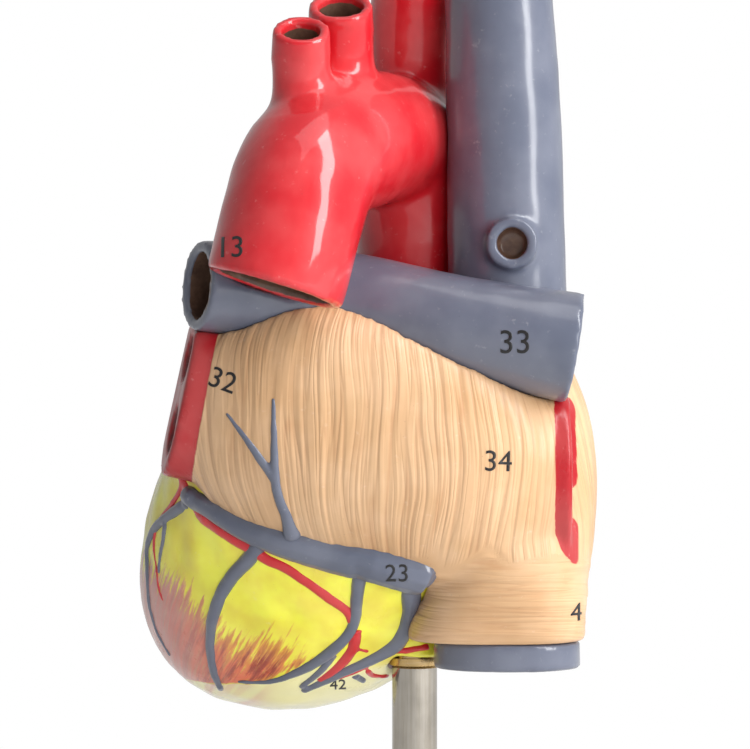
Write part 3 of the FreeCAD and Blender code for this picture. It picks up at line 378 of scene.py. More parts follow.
def ventricle_material(paint):
    """Yellow fat, brushed muscle, chamber lining and the plain cast parting face."""
    material, place = new_material("ventricle_paint")
    grain = painted(material, "grain", "Vector")
    streak = cloud(grain, 0.55, 4, 0.62, 0.3)
    wisp = cloud(grain, 1.5, 3, 0.6, 0.2)
    tuft = cloud(grain, 0.17, 2, 0.5, 0.4)
    ragged = (streak - 0.5) * 26 + (wisp - 0.5) * 14 + (tuft - 0.5) * 9
    fat = ramp(painted(material, "fat") + ragged, -2.4, 2.0)

    mottle = ramp(cloud(place, 90, 3, 0.5), 0.3, 0.7)
    yellow = mixed(mottle, paint.fat_yellow, (0.86, 0.72, 0.05))
    blush = ramp(tuft, 0.4, 0.68) * painted(material, "blush")
    cream = mixed(blush, paint.fat_cream, (0.80, 0.42, 0.33))
    yellow = mixed(painted(material, "cream"), yellow, cream)

    dark = mixed(ramp(streak, 0.36, 0.60), (0.36, 0.05, 0.03), paint.muscle_red)
    brush = mixed(ramp(wisp, 0.50, 0.70, 0, 0.8), dark, (0.74, 0.32, 0.10))
    beside = painted(material, "fat") + ragged * 0.6
    brush = mixed(ramp(beside, -7.5, -0.5, 0, 0.8), brush, (0.80, 0.36, 0.05))
    # Pink along the left margin: a painted reflection of the white room on the grazing edge.
    pink = mixed(ramp(wisp, 0.35, 0.7), paint.muscle_reflection_pink, (0.66, 0.33, 0.27))
    outer = mixed(fat, mixed(painted(material, "ruddy"), pink, brush), yellow)

    ridge = ramp(cloud(grain, 0.35, 3, 0.55, 0.4), 0.35, 0.65)
    lining = mixed(ridge, tinted(paint.lining_red, (0.5, 0.42, 0.42)), paint.lining_red)
    lining = mixed(ramp(wisp, 0.55, 0.75, 0, 0.4), lining, (0.78, 0.38, 0.27))
    cut = mixed(ramp(streak, 0.3, 0.7), (0.55, 0.16, 0.12), (0.66, 0.24, 0.17))
    inner = mixed(painted(material, "parting"), lining, cut)
    tone = mixed(ramp(painted(material, "skin_depth"), 0.75, 1.0), outer, inner)

    tone, rough, skin = varnish(place, tone, 0.05, 0.27)
    return finished(material, tone, rough, skin * 0.5 + (1 - fat) * wisp, 0.35, 0.0004, **VARNISH)


def streaked_material(name, pale, dark, stretch):
    """Painted PVC with upright streaks, for muscles, valves and auricles."""
    material, place = new_material(name)
    streak = cloud(scaled(place, (1, 1, stretch)), 700, 4, 0.6, 0.3)
    tone = mixed(ramp(streak, 0.35, 0.68), dark, pale)
    tone, rough, skin = varnish(place, tone, 0.05, 0.34)
    return finished(material, tone, rough, streak + skin * 0.4, 0.35, 0.0003, **VARNISH)


def metal_material(name, tone, roughness, stretch):
    material, place = new_material(name)
    skin = machined(place, scaled(place, stretch), tone, roughness)
    return finished(material, *skin, 0.12, 0.00005, Metallic=1.0)


def moulded_material(name, tone):
    """Moulded plastic with a fine spark texture and scuffs where it is handled."""
    material, place = new_material(name)
    texture = cloud(place, 1900, 2, 0.5)
    scuff = ramp(cloud(scaled(place, (1, 0.35, 1)), 210, 5, 0.7), 0.60, 0.74)
    broad = ramp(cloud(place, 40, 3, 0.5), 0.3, 0.7)
    worn = mixed(scuff * 0.3, mixed(broad, tone, tinted(tone, (0.9, 0.9, 0.9))), (0.55, 0.54, 0.52))
    rough = scuff * 0.22 + 0.30 + texture * 0.08
    return finished(material, worn, rough, texture - scuff * 0.5, 0.15, 0.0001)


def foam_material(name, tone):
    material, place = new_material(name)
    cells = worked("ShaderNodeTexVoronoi", "Distance", {"Vector": place, "Scale": 1500.0})
    cell = ramp(cells, 0.1, 0.6)
    worn = mixed(cell, tone, tinted(tone, (2.6, 2.6, 2.6)))
    return finished(material, worn, ramp(cell, 0, 1, 0.75, 0.95), cell, 0.6, 0.0003)


def ink_material(name, tone):
    """Printed black ink, a little worn."""
    material, place = new_material(name)
    wear = ramp(cloud(place, 1700, 4, 0.7), 0.60, 0.74)
    worn = mixed(wear * 0.35, tone, (0.10, 0.09, 0.09))
    return finished(material, worn, ramp(wear, 0, 1, 0.32, 0.6), wear, 0.1, 0.0001)


# ---- mesh helpers


def rows_of(mesh, field):
    """The places or normals of the mesh's points, one row each."""
    flat = np.zeros(len(mesh.vertices) * 3)
    mesh.vertices.foreach_get(field, flat)
    return flat.reshape(-1, 3)


def points_of(mesh):
    """The mesh's points in millimetres, one row each."""
    return rows_of(mesh, "co") / MM


def move_points(mesh, shifts):
    """Moves each point by its shift in millimetres."""
    mesh.vertices.foreach_set("co", ((points_of(mesh) + shifts) * MM).ravel())
    mesh.update()


def push_points(mesh, heights):
    """Moves each point along its normal, by millimetres."""
    move_points(mesh, rows_of(mesh, "normal") * heights[:, None])


def paint_points(mesh, **layers):
    """Stores numbers or vectors on the points, each layer under its name."""
    for name, values in layers.items():
        kind, field = ("FLOAT_VECTOR", "vector") if values.ndim == 2 else ("FLOAT", "value")
        layer = mesh.attributes.new(name, kind, "POINT")
        layer.data.foreach_set(field, np.ascontiguousarray(values, dtype=np.float32).ravel())


def tangle(points, size, seed=0.0, stretch=(1, 1, 1)):
    """Smooth noise from -1 to 1 at points given in millimetres, size millimetres across."""
    spots = points * np.array(stretch) / size + seed
    return np.array([noise.noise(Vector(spot)) for spot in spots])


def ease(values, low, high):
    share = np.clip((values - low) / (high - low), 0, 1)
    return share * share * (3 - 2 * share)


def from_ring(points):
    return points - np.array(RING)


def to_heart(points):
    """Points in the heart's own directions, from the valve ring."""
    return from_ring(points) @ np.array(TILT)


def skin_measures(points):
    """Depth inside the ventricles' skin, turn round the long axis and depth below the ring."""
    u, v, w = to_heart(points).T
    depth = np.clip(-w, 0, LENGTH * 0.999)
    share = np.sqrt(1 - (depth / LENGTH) ** TAPER)
    shoulder = 1 - 0.2 * np.clip(w / 5, 0, 1) ** 2
    across = (u + DRIFT * (depth / LENGTH) ** 2) / (HALF_WIDTH * share * shoulder)
    deep = v / (HALF_DEPTH * share * shoulder)
    inside = (1 - np.hypot(across, deep)) * HALF_DEPTH * share
    return inside, np.arctan2(deep, across), -w, v


@contextmanager
def opened(mesh):
    """The mesh opened for editing; its changes are written back at the end."""
    shape = bmesh.new()
    shape.from_mesh(mesh)
    yield shape
    shape.to_mesh(mesh)
    shape.free()
    mesh.update()


def evaluated(item):
    """The item's mesh with its modifiers applied, or a curve's or text's mesh."""
    view = bpy.context.evaluated_depsgraph_get()
    view.update()
    return bpy.data.meshes.new_from_object(item.evaluated_get(view))


def new_item(name, data):
    """An object in the scene, with this mesh, curve, lamp or camera."""
    data.name = name
    item = bpy.data.objects.new(name, data)
    bpy.context.collection.objects.link(item)
    return item


def drawn(curve):
    """The mesh of a curve or text, which is then cleared away."""
    item = new_item(curve.name, curve)
    mesh = evaluated(item)
    bpy.data.objects.remove(item)
    bpy.data.curves.remove(curve)
    return mesh


def even_skin(item, grid, rounds):
    """One even closed skin round everything in the item, softened a few times."""
    remesh = item.modifiers.new("Even skin", "REMESH")
    remesh.mode = "VOXEL"
    remesh.voxel_size = grid * MM
    remesh.use_smooth_shade = True
    mesh = evaluated(item)
    item.modifiers.clear()
    old, item.data = item.data, mesh
    mesh.name = item.name
    bpy.data.meshes.remove(old)
    soften(item, rounds)


def soften(item, rounds, spots=()):
    """Softens the whole skin, or only what lies near the given spots, each with its reach."""
    places = from_ring(points_of(item.data))
    near = np.full(len(places), not spots)
    for spot, reach in spots:
        near |= np.linalg.norm(places - np.array(spot), axis=1) < reach
    with opened(item.data) as shape:
        chosen = [vertex for vertex, wanted in zip(shape.verts, near) if wanted]
        axes = dict(use_axis_x=True, use_axis_y=True, use_axis_z=True)
        for _ in range(rounds):
            bmesh.ops.smooth_vert(shape, verts=chosen, factor=0.5, **axes)


def keep_wall(mesh, thinnest=1.8):
    """Keeps the chambers clear of the outer skin, so that the wall is closed everywhere."""
    points = points_of(mesh)
    inside = skin_measures(points)[0]
    outwards = to_heart(points) * (1, 1, 0)
    outwards = outwards / np.maximum(np.linalg.norm(outwards, axis=1), 0.1)[:, None] @ np.array(TILT).T
    lining = ease(-(rows_of(mesh, "normal") * outwards).sum(axis=1), 0.15, 0.4)
    move_points(mesh, -outwards * (lining * np.clip(thinnest - inside, 0, thinnest))[:, None])


def casting(name, nodes, rounds=4, grid=None, prepare=None):
    """A fresh casting over the given CAD pieces, joined where they touch."""
    mesh = bpy.data.meshes.new(name)
    with opened(mesh) as shape:
        for node in nodes:
            shape.from_mesh(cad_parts[node].data)
        bmesh.ops.remove_doubles(shape, verts=shape.verts, dist=0.002 * MM)
    if prepare:
        prepare(mesh)
    item = new_item(name, mesh)
    even_skin(item, grid or settings("heart_relief").casting_grid, rounds)
    return item


def dress(item, material, body, slot, *nodes):
    """Gives a finished piece its material, its body and the CAD pieces it stands for."""
    item.data.materials.clear()
    item.data.materials.append(material)
    item.data.polygons.foreach_set("use_smooth", [True] * len(item.data.polygons))
    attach(item, body)
    if nodes:
        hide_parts(*nodes)
    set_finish(item, slot)


def finish_nodes(material, *nodes):
    """Gives CAD pieces their material."""
    for node in nodes:
        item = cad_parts[node]
        if not item.material_slots:
            item.data.materials.append(material)
        for slot in item.material_slots:
            slot.material = material


def surface_of(*names):
    """The skin of finished pieces, to lay vessels and numbers on."""
    shape = bmesh.new()
    for name in names:
        item = bpy.data.objects.get(name)
        if item is None:
            raise RuntimeError(f"{name} is made first")
        shape.from_mesh(item.data)
    tree = BVHTree.FromBMesh(shape)
    shape.free()
    return tree


# How far behind the ring and above the skin a search for the surface starts, in mm.
BEHIND, ABOVE = 150, 12


def hit(tree, start, way, where):
    """Where a ray meets a surface, and the surface's normal there."""
    place, normal, _, _ = tree.ray_cast(start, way)
    if place is None:
        raise RuntimeError(f"nothing lies at {where}")
    return place, normal


def on_back(tree, x, z):
    """The nearest point of a surface seen from behind the heart, at x and z from the ring."""
    start = (RING + Vector((x, -BEHIND, z))) * MM
    return hit(tree, start, Vector((0, 1, 0)), f"{x}, {z} from the ring")


def on_skin(tree, turn, depth):
    """The ventricles' surface at a turn in degrees from the patient's right towards the front."""
    angle = math.radians(turn)
    share = math.sqrt(1 - (max(depth, 0) / LENGTH) ** TAPER)
    drift = -DRIFT * (depth / LENGTH) ** 2
    u = HALF_WIDTH * share * math.cos(angle) + drift
    v = HALF_DEPTH * share * math.sin(angle)
    skin = (RING + TILT @ Vector((u, v, -depth))) * MM
    outwards = TILT @ Vector((math.cos(angle) / HALF_WIDTH, math.sin(angle) / HALF_DEPTH, 0))
    outwards.normalize()
    outwards = (outwards + TILT @ Vector((0, 0, -0.9 * (depth / LENGTH) ** 2))).normalized()
    return hit(tree, skin + outwards * ABOVE * MM, -outwards, f"turn {turn}, depth {depth}")


# ---- ventricles

# The fat's lower border seen from behind, and where it crosses over to the underside's cream.
BOUNDARY_X = (-46, -41, -36, -31.5, -29, -20, -15, -10.5, -5.7)
BOUNDARY_Z = (-20, -23.5, -27.4, -32, -34, -34.4, -35.8, -37.8, -38.6)
CROSSING_Z = (-48, -47, -44.2, -41.7, -38.6, -34.7, -31.2, -22.6)
CROSSING_X = (-30, -18, -12, -7.8, -3.8, -0.4, 0.9, 2)

# Routes on the front: turn in degrees and depth below the ring.
FRONT_VESSELS = {
    "anterior_descending_artery": [(106, 12), (103, 24), (103, 38), (109, 50), (118, 57)],
    "great_cardiac_vein": [(113, 12.2), (110, 24), (111, 38), (118, 49)],
    "diagonal_artery": [(117.5, 18), (128, 26), (137, 36), (141, 46)],
    "right_marginal_artery": [(30, 12), (38, 22), (49, 34), (64, 46)],
    "anterior_cardiac_vein": [(60, 12), (64, 22), (70, 34), (79, 43)],
}
# How far the fat reaches beside a front vessel, and below the ring in front, in mm.
FAT_BESIDE, FAT_BELOW = 5.5, 12
# The muscle's grain: its size round the heart, and its share of the depth, so that it runs down.
GRAIN_ROUND, GRAIN_DOWN = 38, 0.11


def fat_paint(points):
    """Where the fat, the cream of the underside and the ruddy muscle are painted; beyond the ruddy muscle,
    on the left margin, the muscle is pink as a painted reflection.
    """
    _, turn, depth, v = skin_measures(points)
    x, _, z = from_ring(points).T
    above = z - np.interp(x, BOUNDARY_X, BOUNDARY_Z)
    beyond = x - np.interp(z, CROSSING_Z, CROSSING_X)
    beyond = np.where(z < -48, 20.0 + (x + 34) * 0.4, beyond)
    rear = np.maximum(above, beyond * 1.6)
    narrowing = np.sqrt(np.clip(1 - (np.clip(depth, 0, LENGTH - 1) / LENGTH) ** TAPER, 0.05, 1))
    near_vessel = np.full(len(points), 1e3)
    for route in FRONT_VESSELS.values():
        for (turn_a, depth_a), (turn_b, depth_b) in zip(route, route[1:]):
            for share in np.linspace(0, 1, 6):
                angle = math.radians(turn_a + (turn_b - turn_a) * share)
                across = (turn - angle + math.pi) % (2 * math.pi) - math.pi
                down = depth - (depth_a + (depth_b - depth_a) * share)
                off = np.hypot(across * HALF_DEPTH * narrowing, down)
                near_vessel = np.minimum(near_vessel, off)
    front = np.maximum(FAT_BESIDE - near_vessel, FAT_BELOW - depth)
    share = ease(v, 0, 9)
    fat = (rear + 2.6 * ease(x, -30, -24)) * (1 - share) + front * share
    cream = ease(beyond, 0, 2) * ease(-z, 40, 46) * (1 - share)
    blush = ease(-x, 15, 28) * (1 - share)
    # ruddy falls off towards the left margin, where the pink painted reflection takes over.
    ruddy = np.maximum(ease(x, -44, -24), share * 0.75)
    return fat, cream, blush, ruddy


def ventricle_casting(name, node, body, material, parting):
    """One half of the ventricles, with its fat, muscle, parting face and chambers."""
    relief = settings("heart_relief")
    item = casting(name, [node], 3, prepare=keep_wall)
    mesh = item.data
    points = points_of(mesh)
    inside, turn, depth, v = skin_measures(points)
    across, deep = np.cos(turn) * GRAIN_ROUND, np.sin(turn) * GRAIN_ROUND
    grain = np.stack([across, deep, depth * GRAIN_DOWN], axis=1)
    outer = 1 - ease(inside, 0.6, 1.2)
    face = (1 - ease(abs(v - parting), 0.25, 0.7)) * (1 - outer)
    chamber = (1 - outer) * (1 - face) * ease(inside, 2, 4)
    fat, cream, blush, ruddy = fat_paint(points)
    fatty = ease(fat, -3, 3)
    lumps = tangle(points, 6.5, 3.1) * relief.fat_height * fatty
    streaks = tangle(grain, 1.1, 7.7) * relief.muscle_height * (1 - fatty)
    ridges = (0.35 - np.abs(tangle(grain, 2.6, 1.3)) * 2) * relief.ridge_height
    ridges += tangle(points, 3.4, 5.9) * relief.ridge_height * 0.5
    push_points(mesh, outer * (lumps + streaks - 0.12) + chamber * ridges)
    paint_points(mesh, skin_depth=inside, parting=face, grain=grain)
    paint_points(mesh, fat=fat, cream=cream, blush=blush, ruddy=ruddy)
    dress(item, material, body, "muscle_pvc", node)


class HEART_OT_ventricles(bpy.types.Operator):
    """Casts the ventricles' rear half and the front wall that comes off"""

    bl_idname = "heart.ventricles"
    bl_label = "Ventricles"

    def execute(self, context):
        material = ventricle_material(settings("heart_paint"))
        ventricle_casting("ventricles_rear", "ventricles_rear_half", "heart", material, PARTING)
        ventricle_casting("ventricles_front", "front_wall", "front_wall", material, PARTING + GAP)
        return {"FINISHED"}


# ---- atria

# The upright fibres fan out round this place behind the ring, at this radius, in mm.
FAN_X, FAN_Y, FAN_RADIUS = 10, 12, 45


def nearness(node, points):
    """Distance from points in millimetres to the skin of a CAD piece."""
    tree = surface_of(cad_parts[node].name)
    return np.array([tree.find_nearest(Vector(point) * MM)[3] / MM for point in points])


class HEART_OT_atria(bpy.types.Operator):
    """Casts both atria and the red vein collars as one skin with moulded fibres"""

    bl_idname = "heart.atria"
    bl_label = "Atria and vein collars"

    def execute(self, context):
        relief = settings("heart_relief")
        nodes = ["left_atrium", "right_atrium", "left_pulmonary_veins", "right_pulmonary_veins"]
        item = casting("atria", nodes, 7)
        mesh = item.data
        points = points_of(mesh)
        x, y, z = from_ring(points).T
        wander = tangle(points, 18, 2.2) * 1.3
        around = np.arctan2(x - FAN_X, FAN_Y - y) * FAN_RADIUS
        upright = np.stack([around + wander, y * 0.035, z * 0.04], axis=1)
        level = np.stack([x * 0.05 + 40, y * 0.05, z + wander * 0.8 + x * 0.04], axis=1)
        low = ease(-z + tangle(points, 7, 4.4) * 3, 15.5, 20.5) * ease(x, 10, 14)
        strength = ease(np.abs(low - 0.5), 0.05, 0.45)
        fibre_way = np.where(low[:, None] > 0.5, level, upright)
        left, right, left_veins, right_veins = (nearness(node, points) for node in nodes)
        collar = np.minimum(left, right) - np.minimum(left_veins, right_veins)
        collar += 1.6 * ease(x, 43.5, 45.5)
        recess = recess_depth(mesh, CUT_ENDS["atria"])
        smooth = ease(collar, -0.6, 0.4)
        ridges = tangle(fibre_way, 1.5, 0.7) + 0.5 * tangle(fibre_way, 3.2, 9.1)
        push_points(mesh, ridges * relief.fibre_height * (1 - smooth) * strength)
        paint_points(mesh, fibre_way=fibre_way, fibre_strength=strength, collar=collar)
        paint_points(mesh, ragged=0.4 + 0.5 * ease(x, 20, 30), recess=recess)
        dress(item, atrium_material(settings("heart_paint")), "heart", "atrium_pvc", *nodes)
        return {"FINISHED"}


# ---- great vessels

# Blind ends: centre from the ring, direction outwards, radius, depth and width of the painted
# lip inside the rim, in mm.
CUT_ENDS = {
    "aorta_casting": [
        ((-16, -44.4, 39.3), (-0.29, -0.07, -0.95), 13.4, 12, 0.6),
        ((-10.4, -36, 94.5), (0, -0.57, 0.82), 5.4, 10, 2.0),
        ((-2.2, -24, 101), (0, -0.57, 0.82), 6.1, 10, 2.0),
        ((13.5, 3, 110), (0, -0.54, 0.84), 8.3, 14, 2.0),
    ],
    "lung_artery_casting": [
        ((-33, -27, 40.5), (-0.94, -0.33, 0.08), 8.6, 9, 0.6),
        ((48, -28, 27), (0.98, -0.07, -0.17), 10.8, 12, 0.6),
    ],
    "upper_vein_casting": [
        ((32.3, -5.5, 107.5), (-0.04, 0.03, 1), 10.8, 18, 0.6),
        ((34.8, -22.5, 49.7), (0, -1, 0), 4.5, 5, 0.6),
    ],
    "lower_vein_ring": [
        ((30.7, -14, -42.6), (0, 0, -1), 11.5, 8, 0.4),
        ((37.3, -14, -42.6), (0, 0, -1), 11.5, 8, 0.4),
    ],
    "atria": [
        ((-35.5, -22, 25.1), (-0.967, -0.155, 0.203), 5.4, 5, 0.3),
        ((-38.7, -22, 9.6), (-0.967, -0.155, 0.203), 5.4, 5, 0.3),
        ((47.4, -22, 9), (1, 0, 0), 5.4, 5, 0.3),
        ((47.4, -22, -6.5), (1, 0, 0), 5.4, 5, 0.3),
    ],
}

# Where the branches leave the arch, from the ring, with how far the fillet reaches, in mm, and how
# many times it is softened.
BRANCH_ROOTS = [((-10.4, -33, 79), 11), ((-2.2, -22, 86), 12), ((13.5, 3, 86), 15)]
ROOT_ROUNDS = 45


def recess_depth(mesh, ends):
    """How far each point lies within a blind end, in mm; below nought outside."""
    spots, normals = from_ring(points_of(mesh)), rows_of(mesh, "normal")
    best = np.full(len(spots), -5.0)
    for centre, way, radius, reach, lip in ends:
        way = np.array(way) / np.linalg.norm(way)
        off = spots - np.array(centre)
        along = off @ way
        sideways = off - along[:, None] * way
        across = np.linalg.norm(sideways, axis=1)
        inwards = -(sideways * normals).sum(axis=1) / np.maximum(across, 0.1)
        open_side = np.maximum(inwards, normals @ way - 0.3) * 6
        here = np.minimum(radius - across, np.minimum(along + reach, -lip - along))
        best = np.maximum(best, np.minimum(here, open_side))
    return best


class HEART_OT_great_vessels(bpy.types.Operator):
    """Casts the aorta, the lung arteries, the great veins and the auricles"""

    bl_idname = "heart.great_vessels"
    bl_label = "Great vessels"

    def execute(self, context):
        paint = settings("heart_paint")
        red = painted_vessel("artery_red_paint", paint.artery_red, paint.recess_brown)
        grey = painted_vessel("vein_grey_paint", paint.vein_grey, paint.recess_brown, coat=0.17)
        rows = [
            ("aorta_casting", "aorta", red, "artery_pvc", 9),
            ("lung_artery_casting", "pulmonary_arteries", grey, "vein_pvc", 6),
            ("upper_vein_casting", "superior_vena_cava", grey, "vein_pvc", 6),
            ("lower_vein_ring", "inferior_vena_cava", grey, "vein_pvc", 3),
        ]
        for name, node, material, slot, rounds in rows:
            item = casting(name, [node], rounds)
            if node == "aorta":
                soften(item, ROOT_ROUNDS, BRANCH_ROOTS)
            mesh = item.data
            paint_points(mesh, recess=recess_depth(mesh, CUT_ENDS[name]))
            push_points(mesh, tangle(points_of(mesh), 7, 1.7) * 0.12)
            dress(item, material, "heart", slot, node)
        flesh = streaked_material("auricle_paint", (0.66, 0.27, 0.17), (0.42, 0.10, 0.07), 0.25)
        for name, node in (("left_ear", "left_auricle"), ("right_ear", "right_auricle")):
            item = casting(name, [node], 6)
            push_points(item.data, (0.3 - np.abs(tangle(points_of(item.data), 4.2, 8.3))) * 1.1)
            dress(item, flesh, "heart", "auricle_pvc", node)
        return {"FINISHED"}


# ---- coronary vessels

# Routes of one or more strands, seen from behind: x and z from the ring, and the radius, in mm.
BACK_VESSELS = {
    "coronary_sinus": [[
        (-35.6, -4.9, 2.4), (-30, -7.7, 2.7), (-24, -11, 3.1), (-18.4, -13.2, 3.5), (-10.8, -15.4, 4),
        (0, -17.9, 4.6), (8, -20, 5), (14.4, -21.9, 5), (16.2, -22.4, 4.3), (17.2, -22.7, 2.6),
    ]],
    "left_ventricular_vein": [[
        (-18.2, -13.2, 2), (-22.2, -18.5, 1.8), (-25.7, -22.3, 1.7), (-28.2, -26.2, 1.6),
        (-30.2, -31.3, 1.5), (-31, -35.3, 1.35), (-31.2, -40.5, 1.2), (-30.6, -45.4, 1.1),
        (-29.4, -49.2, 0.8),
    ]],
    "posterior_ventricular_vein": [[
        (2, -20.6, 1.8), (1.3, -26.8, 1.5), (0.9, -31.2, 1.4), (-0.4, -34.7, 1.4), (-3.8, -38.6, 1.6),
        (-7.8, -41.7, 1.5), (-12, -44.2, 1.2), (-17.9, -46.6, 0.8), (-25.3, -47, 0.5),
    ]],
    "middle_cardiac_vein": [
        [
            (13.1, -23.7, 2.6), (12.9, -30.1, 2.1), (11.7, -34.6, 2), (9.6, -38, 2.2),
            (4.8, -41.1, 1.7), (-1, -43.8, 1.4), (-5.8, -46.3, 1.3), (-10.8, -49, 0.8),
        ],
        [(-3.8, -40, 1), (-7.1, -44.2, 1), (-11.2, -48, 0.7)],
        [(0.8, -45.2, 1.1), (2.7, -46.8, 0.7)],
    ],
    "left_marginal_vein": [
        [
            (-35.6, -6.5, 1.5), (-39.4, -9.1, 1.4), (-43.4, -12.4, 1.2), (-45, -15.5, 1.1),
            (-45.6, -18, 0.9), (-45.6, -24, 0.8), (-45.4, -30, 0.7), (-44, -36, 0.6), (-41, -42, 0.5),
        ],
        [(-40.9, -11.6, 0.9), (-41.6, -15.6, 0.7), (-42.4, -19.2, 0.6), (-42.8, -22.7, 0.4)],
    ],
    "posterior_descending_artery": [
        [(1.2, -34, 1.6), (0.4, -38.5, 1.6), (-2, -42.1, 1.5), (-4.9, -44.8, 1.3), (-7.2, -46.4, 0.9)],
        [(0.8, -38.5, 0.7), (3.7, -39.5, 0.5)],
        [
            (17.1, -38.6, 0.9), (12.5, -39.4, 0.9), (8.1, -40.1, 0.8), (4.8, -42, 0.8), (1.9, -43.9, 0.7),
            (-3, -46, 0.6),
        ],
        [(3.2, -43.2, 0.8), (4.6, -45.4, 0.9), (8, -46, 0.7)],
    ],
    "left_atrial_vein": [
        [
            (-12.6, -13.5, 2.2), (-13.6, -9, 1.5), (-15.1, -5.1, 1.3), (-15.9, -0.9, 1.2),
            (-16.1, 7.6, 0.9), (-16.3, 16.4, 0.5),
        ],
        [(-15.9, -0.9, 1.2), (-18.7, 2.9, 1.1), (-22.3, 8, 0.8), (-26.4, 13.2, 0.4)],
    ],
}
# Routes in the groove round the ring: turn in degrees, depth and radius.
LEFT_GROOVE = [(122, 4, 1.7), (140, 3, 1.7), (160, 3, 1.7), (180, 4, 1.7), (197, 5, 1.7)]
RIGHT_GROOVE = [(78, 0, 1.7), (62, 2, 1.7), (45, 5, 1.7), (30, 7, 1.7), (17, 7.6, 1.7)]
# The left groove's artery goes on behind, as a thick and a thin strand.
BACK_ARTERY = [
    (-32.3, -9.2, 2.3), (-28, -12.1, 2.3), (-24.2, -14.5, 2.2), (-20.5, -16.7, 2.1), (-18.1, -18.4, 1.8),
    (-13.9, -20.3, 1.7), (-9.2, -23.5, 1.6), (-4.7, -26.9, 1.6), (-0.8, -29.9, 1.5), (0.3, -32.5, 1.3),
]
THIN_MARGIN = [
    (-36.8, -1.5, 1), (-37.4, -4, 0.9), (-39.8, -7.6, 0.8), (-42.9, -11.5, 0.7), (-43.9, -16, 0.6),
    (-43.4, -21, 0.5), (-42.9, -26, 0.5), (-41.9, -29, 0.4),
]
# How deep a vessel's middle lies below the surface that carries it, as a share of its radius.
SUNK = {"artery": 0.45, "vein": 0.2, "left_atrial_vein": 0.35}
GROOVE_SUNK, BACK_SUNK, THIN_SUNK, FRONT_SUNK = 0.4, 0.55, 0.3, 0.2


def smooth_line(values, steps=7):
    """Rows of numbers joined by a smooth line through every row."""
    rows = [np.array(value, dtype=float) for value in values]
    rows = [2 * rows[0] - rows[1]] + rows + [2 * rows[-1] - rows[-2]]
    line = []
    for a, b, c, d in zip(rows, rows[1:], rows[2:], rows[3:]):
        for step in range(steps):
            t = step / steps
            square, cube = 2 * a - 5 * b + 4 * c - d, 3 * b - a - 3 * c + d
            line.append(0.5 * (2 * b + (c - a) * t + square * t**2 + cube * t**3))
    line.append(rows[-2])
    return line


def sunk_points(route, find, tree, sunk):
    """Places along a vessel, with its middle sunk below the surface that it lies on."""
    places = []
    for first, second, radius in smooth_line(route):
        place, normal = find(tree, first, second)
        places.append((place - normal * radius * sunk * MM, radius))
    eased = []
    for number, (place, radius) in enumerate(places):
        near = places[max(number - 3, 0) : number + 4]
        middle = sum((spot for spot, _ in near), Vector()) / len(near)
        end = number in (0, len(places) - 1)
        eased.append((place if end else Vector((place.x, middle.y, place.z)), radius))
    return eased


def vessel(node, strands, paints, body="heart"):
    """A coronary vessel as one skin round all its strands, painted red or grey."""
    name = node + "_cast"
    curve = bpy.data.curves.new(name, "CURVE")
    curve.dimensions = "3D"
    curve.bevel_depth = MM
    curve.bevel_resolution = 4
    curve.use_fill_caps = True
    for places in strands:
        spline = curve.splines.new("POLY")
        spline.points.add(len(places) - 1)
        for point, (place, radius) in zip(spline.points, places):
            point.co = (*place, 1)
            point.radius = max(radius, 0.3)
    item = new_item(name, drawn(curve))
    even_skin(item, settings("heart_relief").vessel_grid, 5)
    push_points(item.data, tangle(points_of(item.data), 2.4, 6.1) * 0.08)
    kind = "artery" if node.endswith("artery") else "vein"
    dress(item, paints[kind], body, kind + "_pvc", node)


class HEART_OT_coronary_vessels(bpy.types.Operator):
    """Lays the coronary arteries and veins on the finished castings"""

    bl_idname = "heart.coronary_vessels"
    bl_label = "Coronary vessels"

    def execute(self, context):
        paint = settings("heart_paint")
        inside = paint.recess_brown
        paints = {
            "artery": painted_vessel("coronary_red_paint", paint.artery_red, inside, 0.3, False),
            "vein": painted_vessel("coronary_grey_paint", paint.vein_grey, inside, 0.32, False),
        }
        muscle = surface_of("ventricles_rear", "ventricles_front")
        both = surface_of("ventricles_rear", "ventricles_front", "atria")
        for node, strands in BACK_VESSELS.items():
            tree = both if node in ("coronary_sinus", "left_atrial_vein") else muscle
            sunk = SUNK.get(node, SUNK["artery" if node.endswith("artery") else "vein"])
            vessel(node, [sunk_points(strand, on_back, tree, sunk) for strand in strands], paints)
        groove = sunk_points(LEFT_GROOVE, on_skin, muscle, GROOVE_SUNK)
        back = sunk_points(BACK_ARTERY, on_back, muscle, BACK_SUNK)
        thin = sunk_points(THIN_MARGIN, on_back, muscle, THIN_SUNK)
        vessel("circumflex_artery", [groove, [groove[-1], back[0]], back, thin], paints)
        groove = sunk_points(RIGHT_GROOVE, on_skin, muscle, GROOVE_SUNK)
        vessel("right_coronary_artery", [groove], paints)
        for node, spots in FRONT_VESSELS.items():
            radii = np.linspace(1.75 if node.endswith("artery") else 1.6, 0.85, len(spots))
            route = [(*spot, radius) for spot, radius in zip(spots, radii)]
            vessel(node, [sunk_points(route, on_skin, muscle, FRONT_SUNK)], paints, "front_wall")
        return {"FINISHED"}


# ---- valves, magnets and stand


class HEART_OT_valves(bpy.types.Operator):
    """Finishes the valves, their cords and the papillary muscles"""

    bl_idname = "heart.valves"
    bl_label = "Valves and papillary muscles"

    def execute(self, context):
        paint = settings("heart_paint")
        ivory = streaked_material("valve_ivory_paint", paint.valve_ivory, (0.66, 0.50, 0.32), 0.3)
        flesh = streaked_material("papillary_paint", (0.62, 0.22, 0.16), (0.36, 0.08, 0.06), 0.2)
        finish_nodes(ivory, "mitral_valve", "tricuspid_valve", "aortic_valve", "pulmonary_valve")
        finish_nodes(ivory, "left_tendinous_cords", "right_tendinous_cords")
        for node in ("left_papillary_muscles", "right_papillary_muscles"):
            item = casting(node + "_cast", [node], 4, 0.4)
            push_points(item.data, tangle(points_of(item.data), 1.6, 2.9, (1, 1, 0.25)) * 0.3)
            dress(item, flesh, "heart", "chamber_pvc", node)
        return {"FINISHED"}


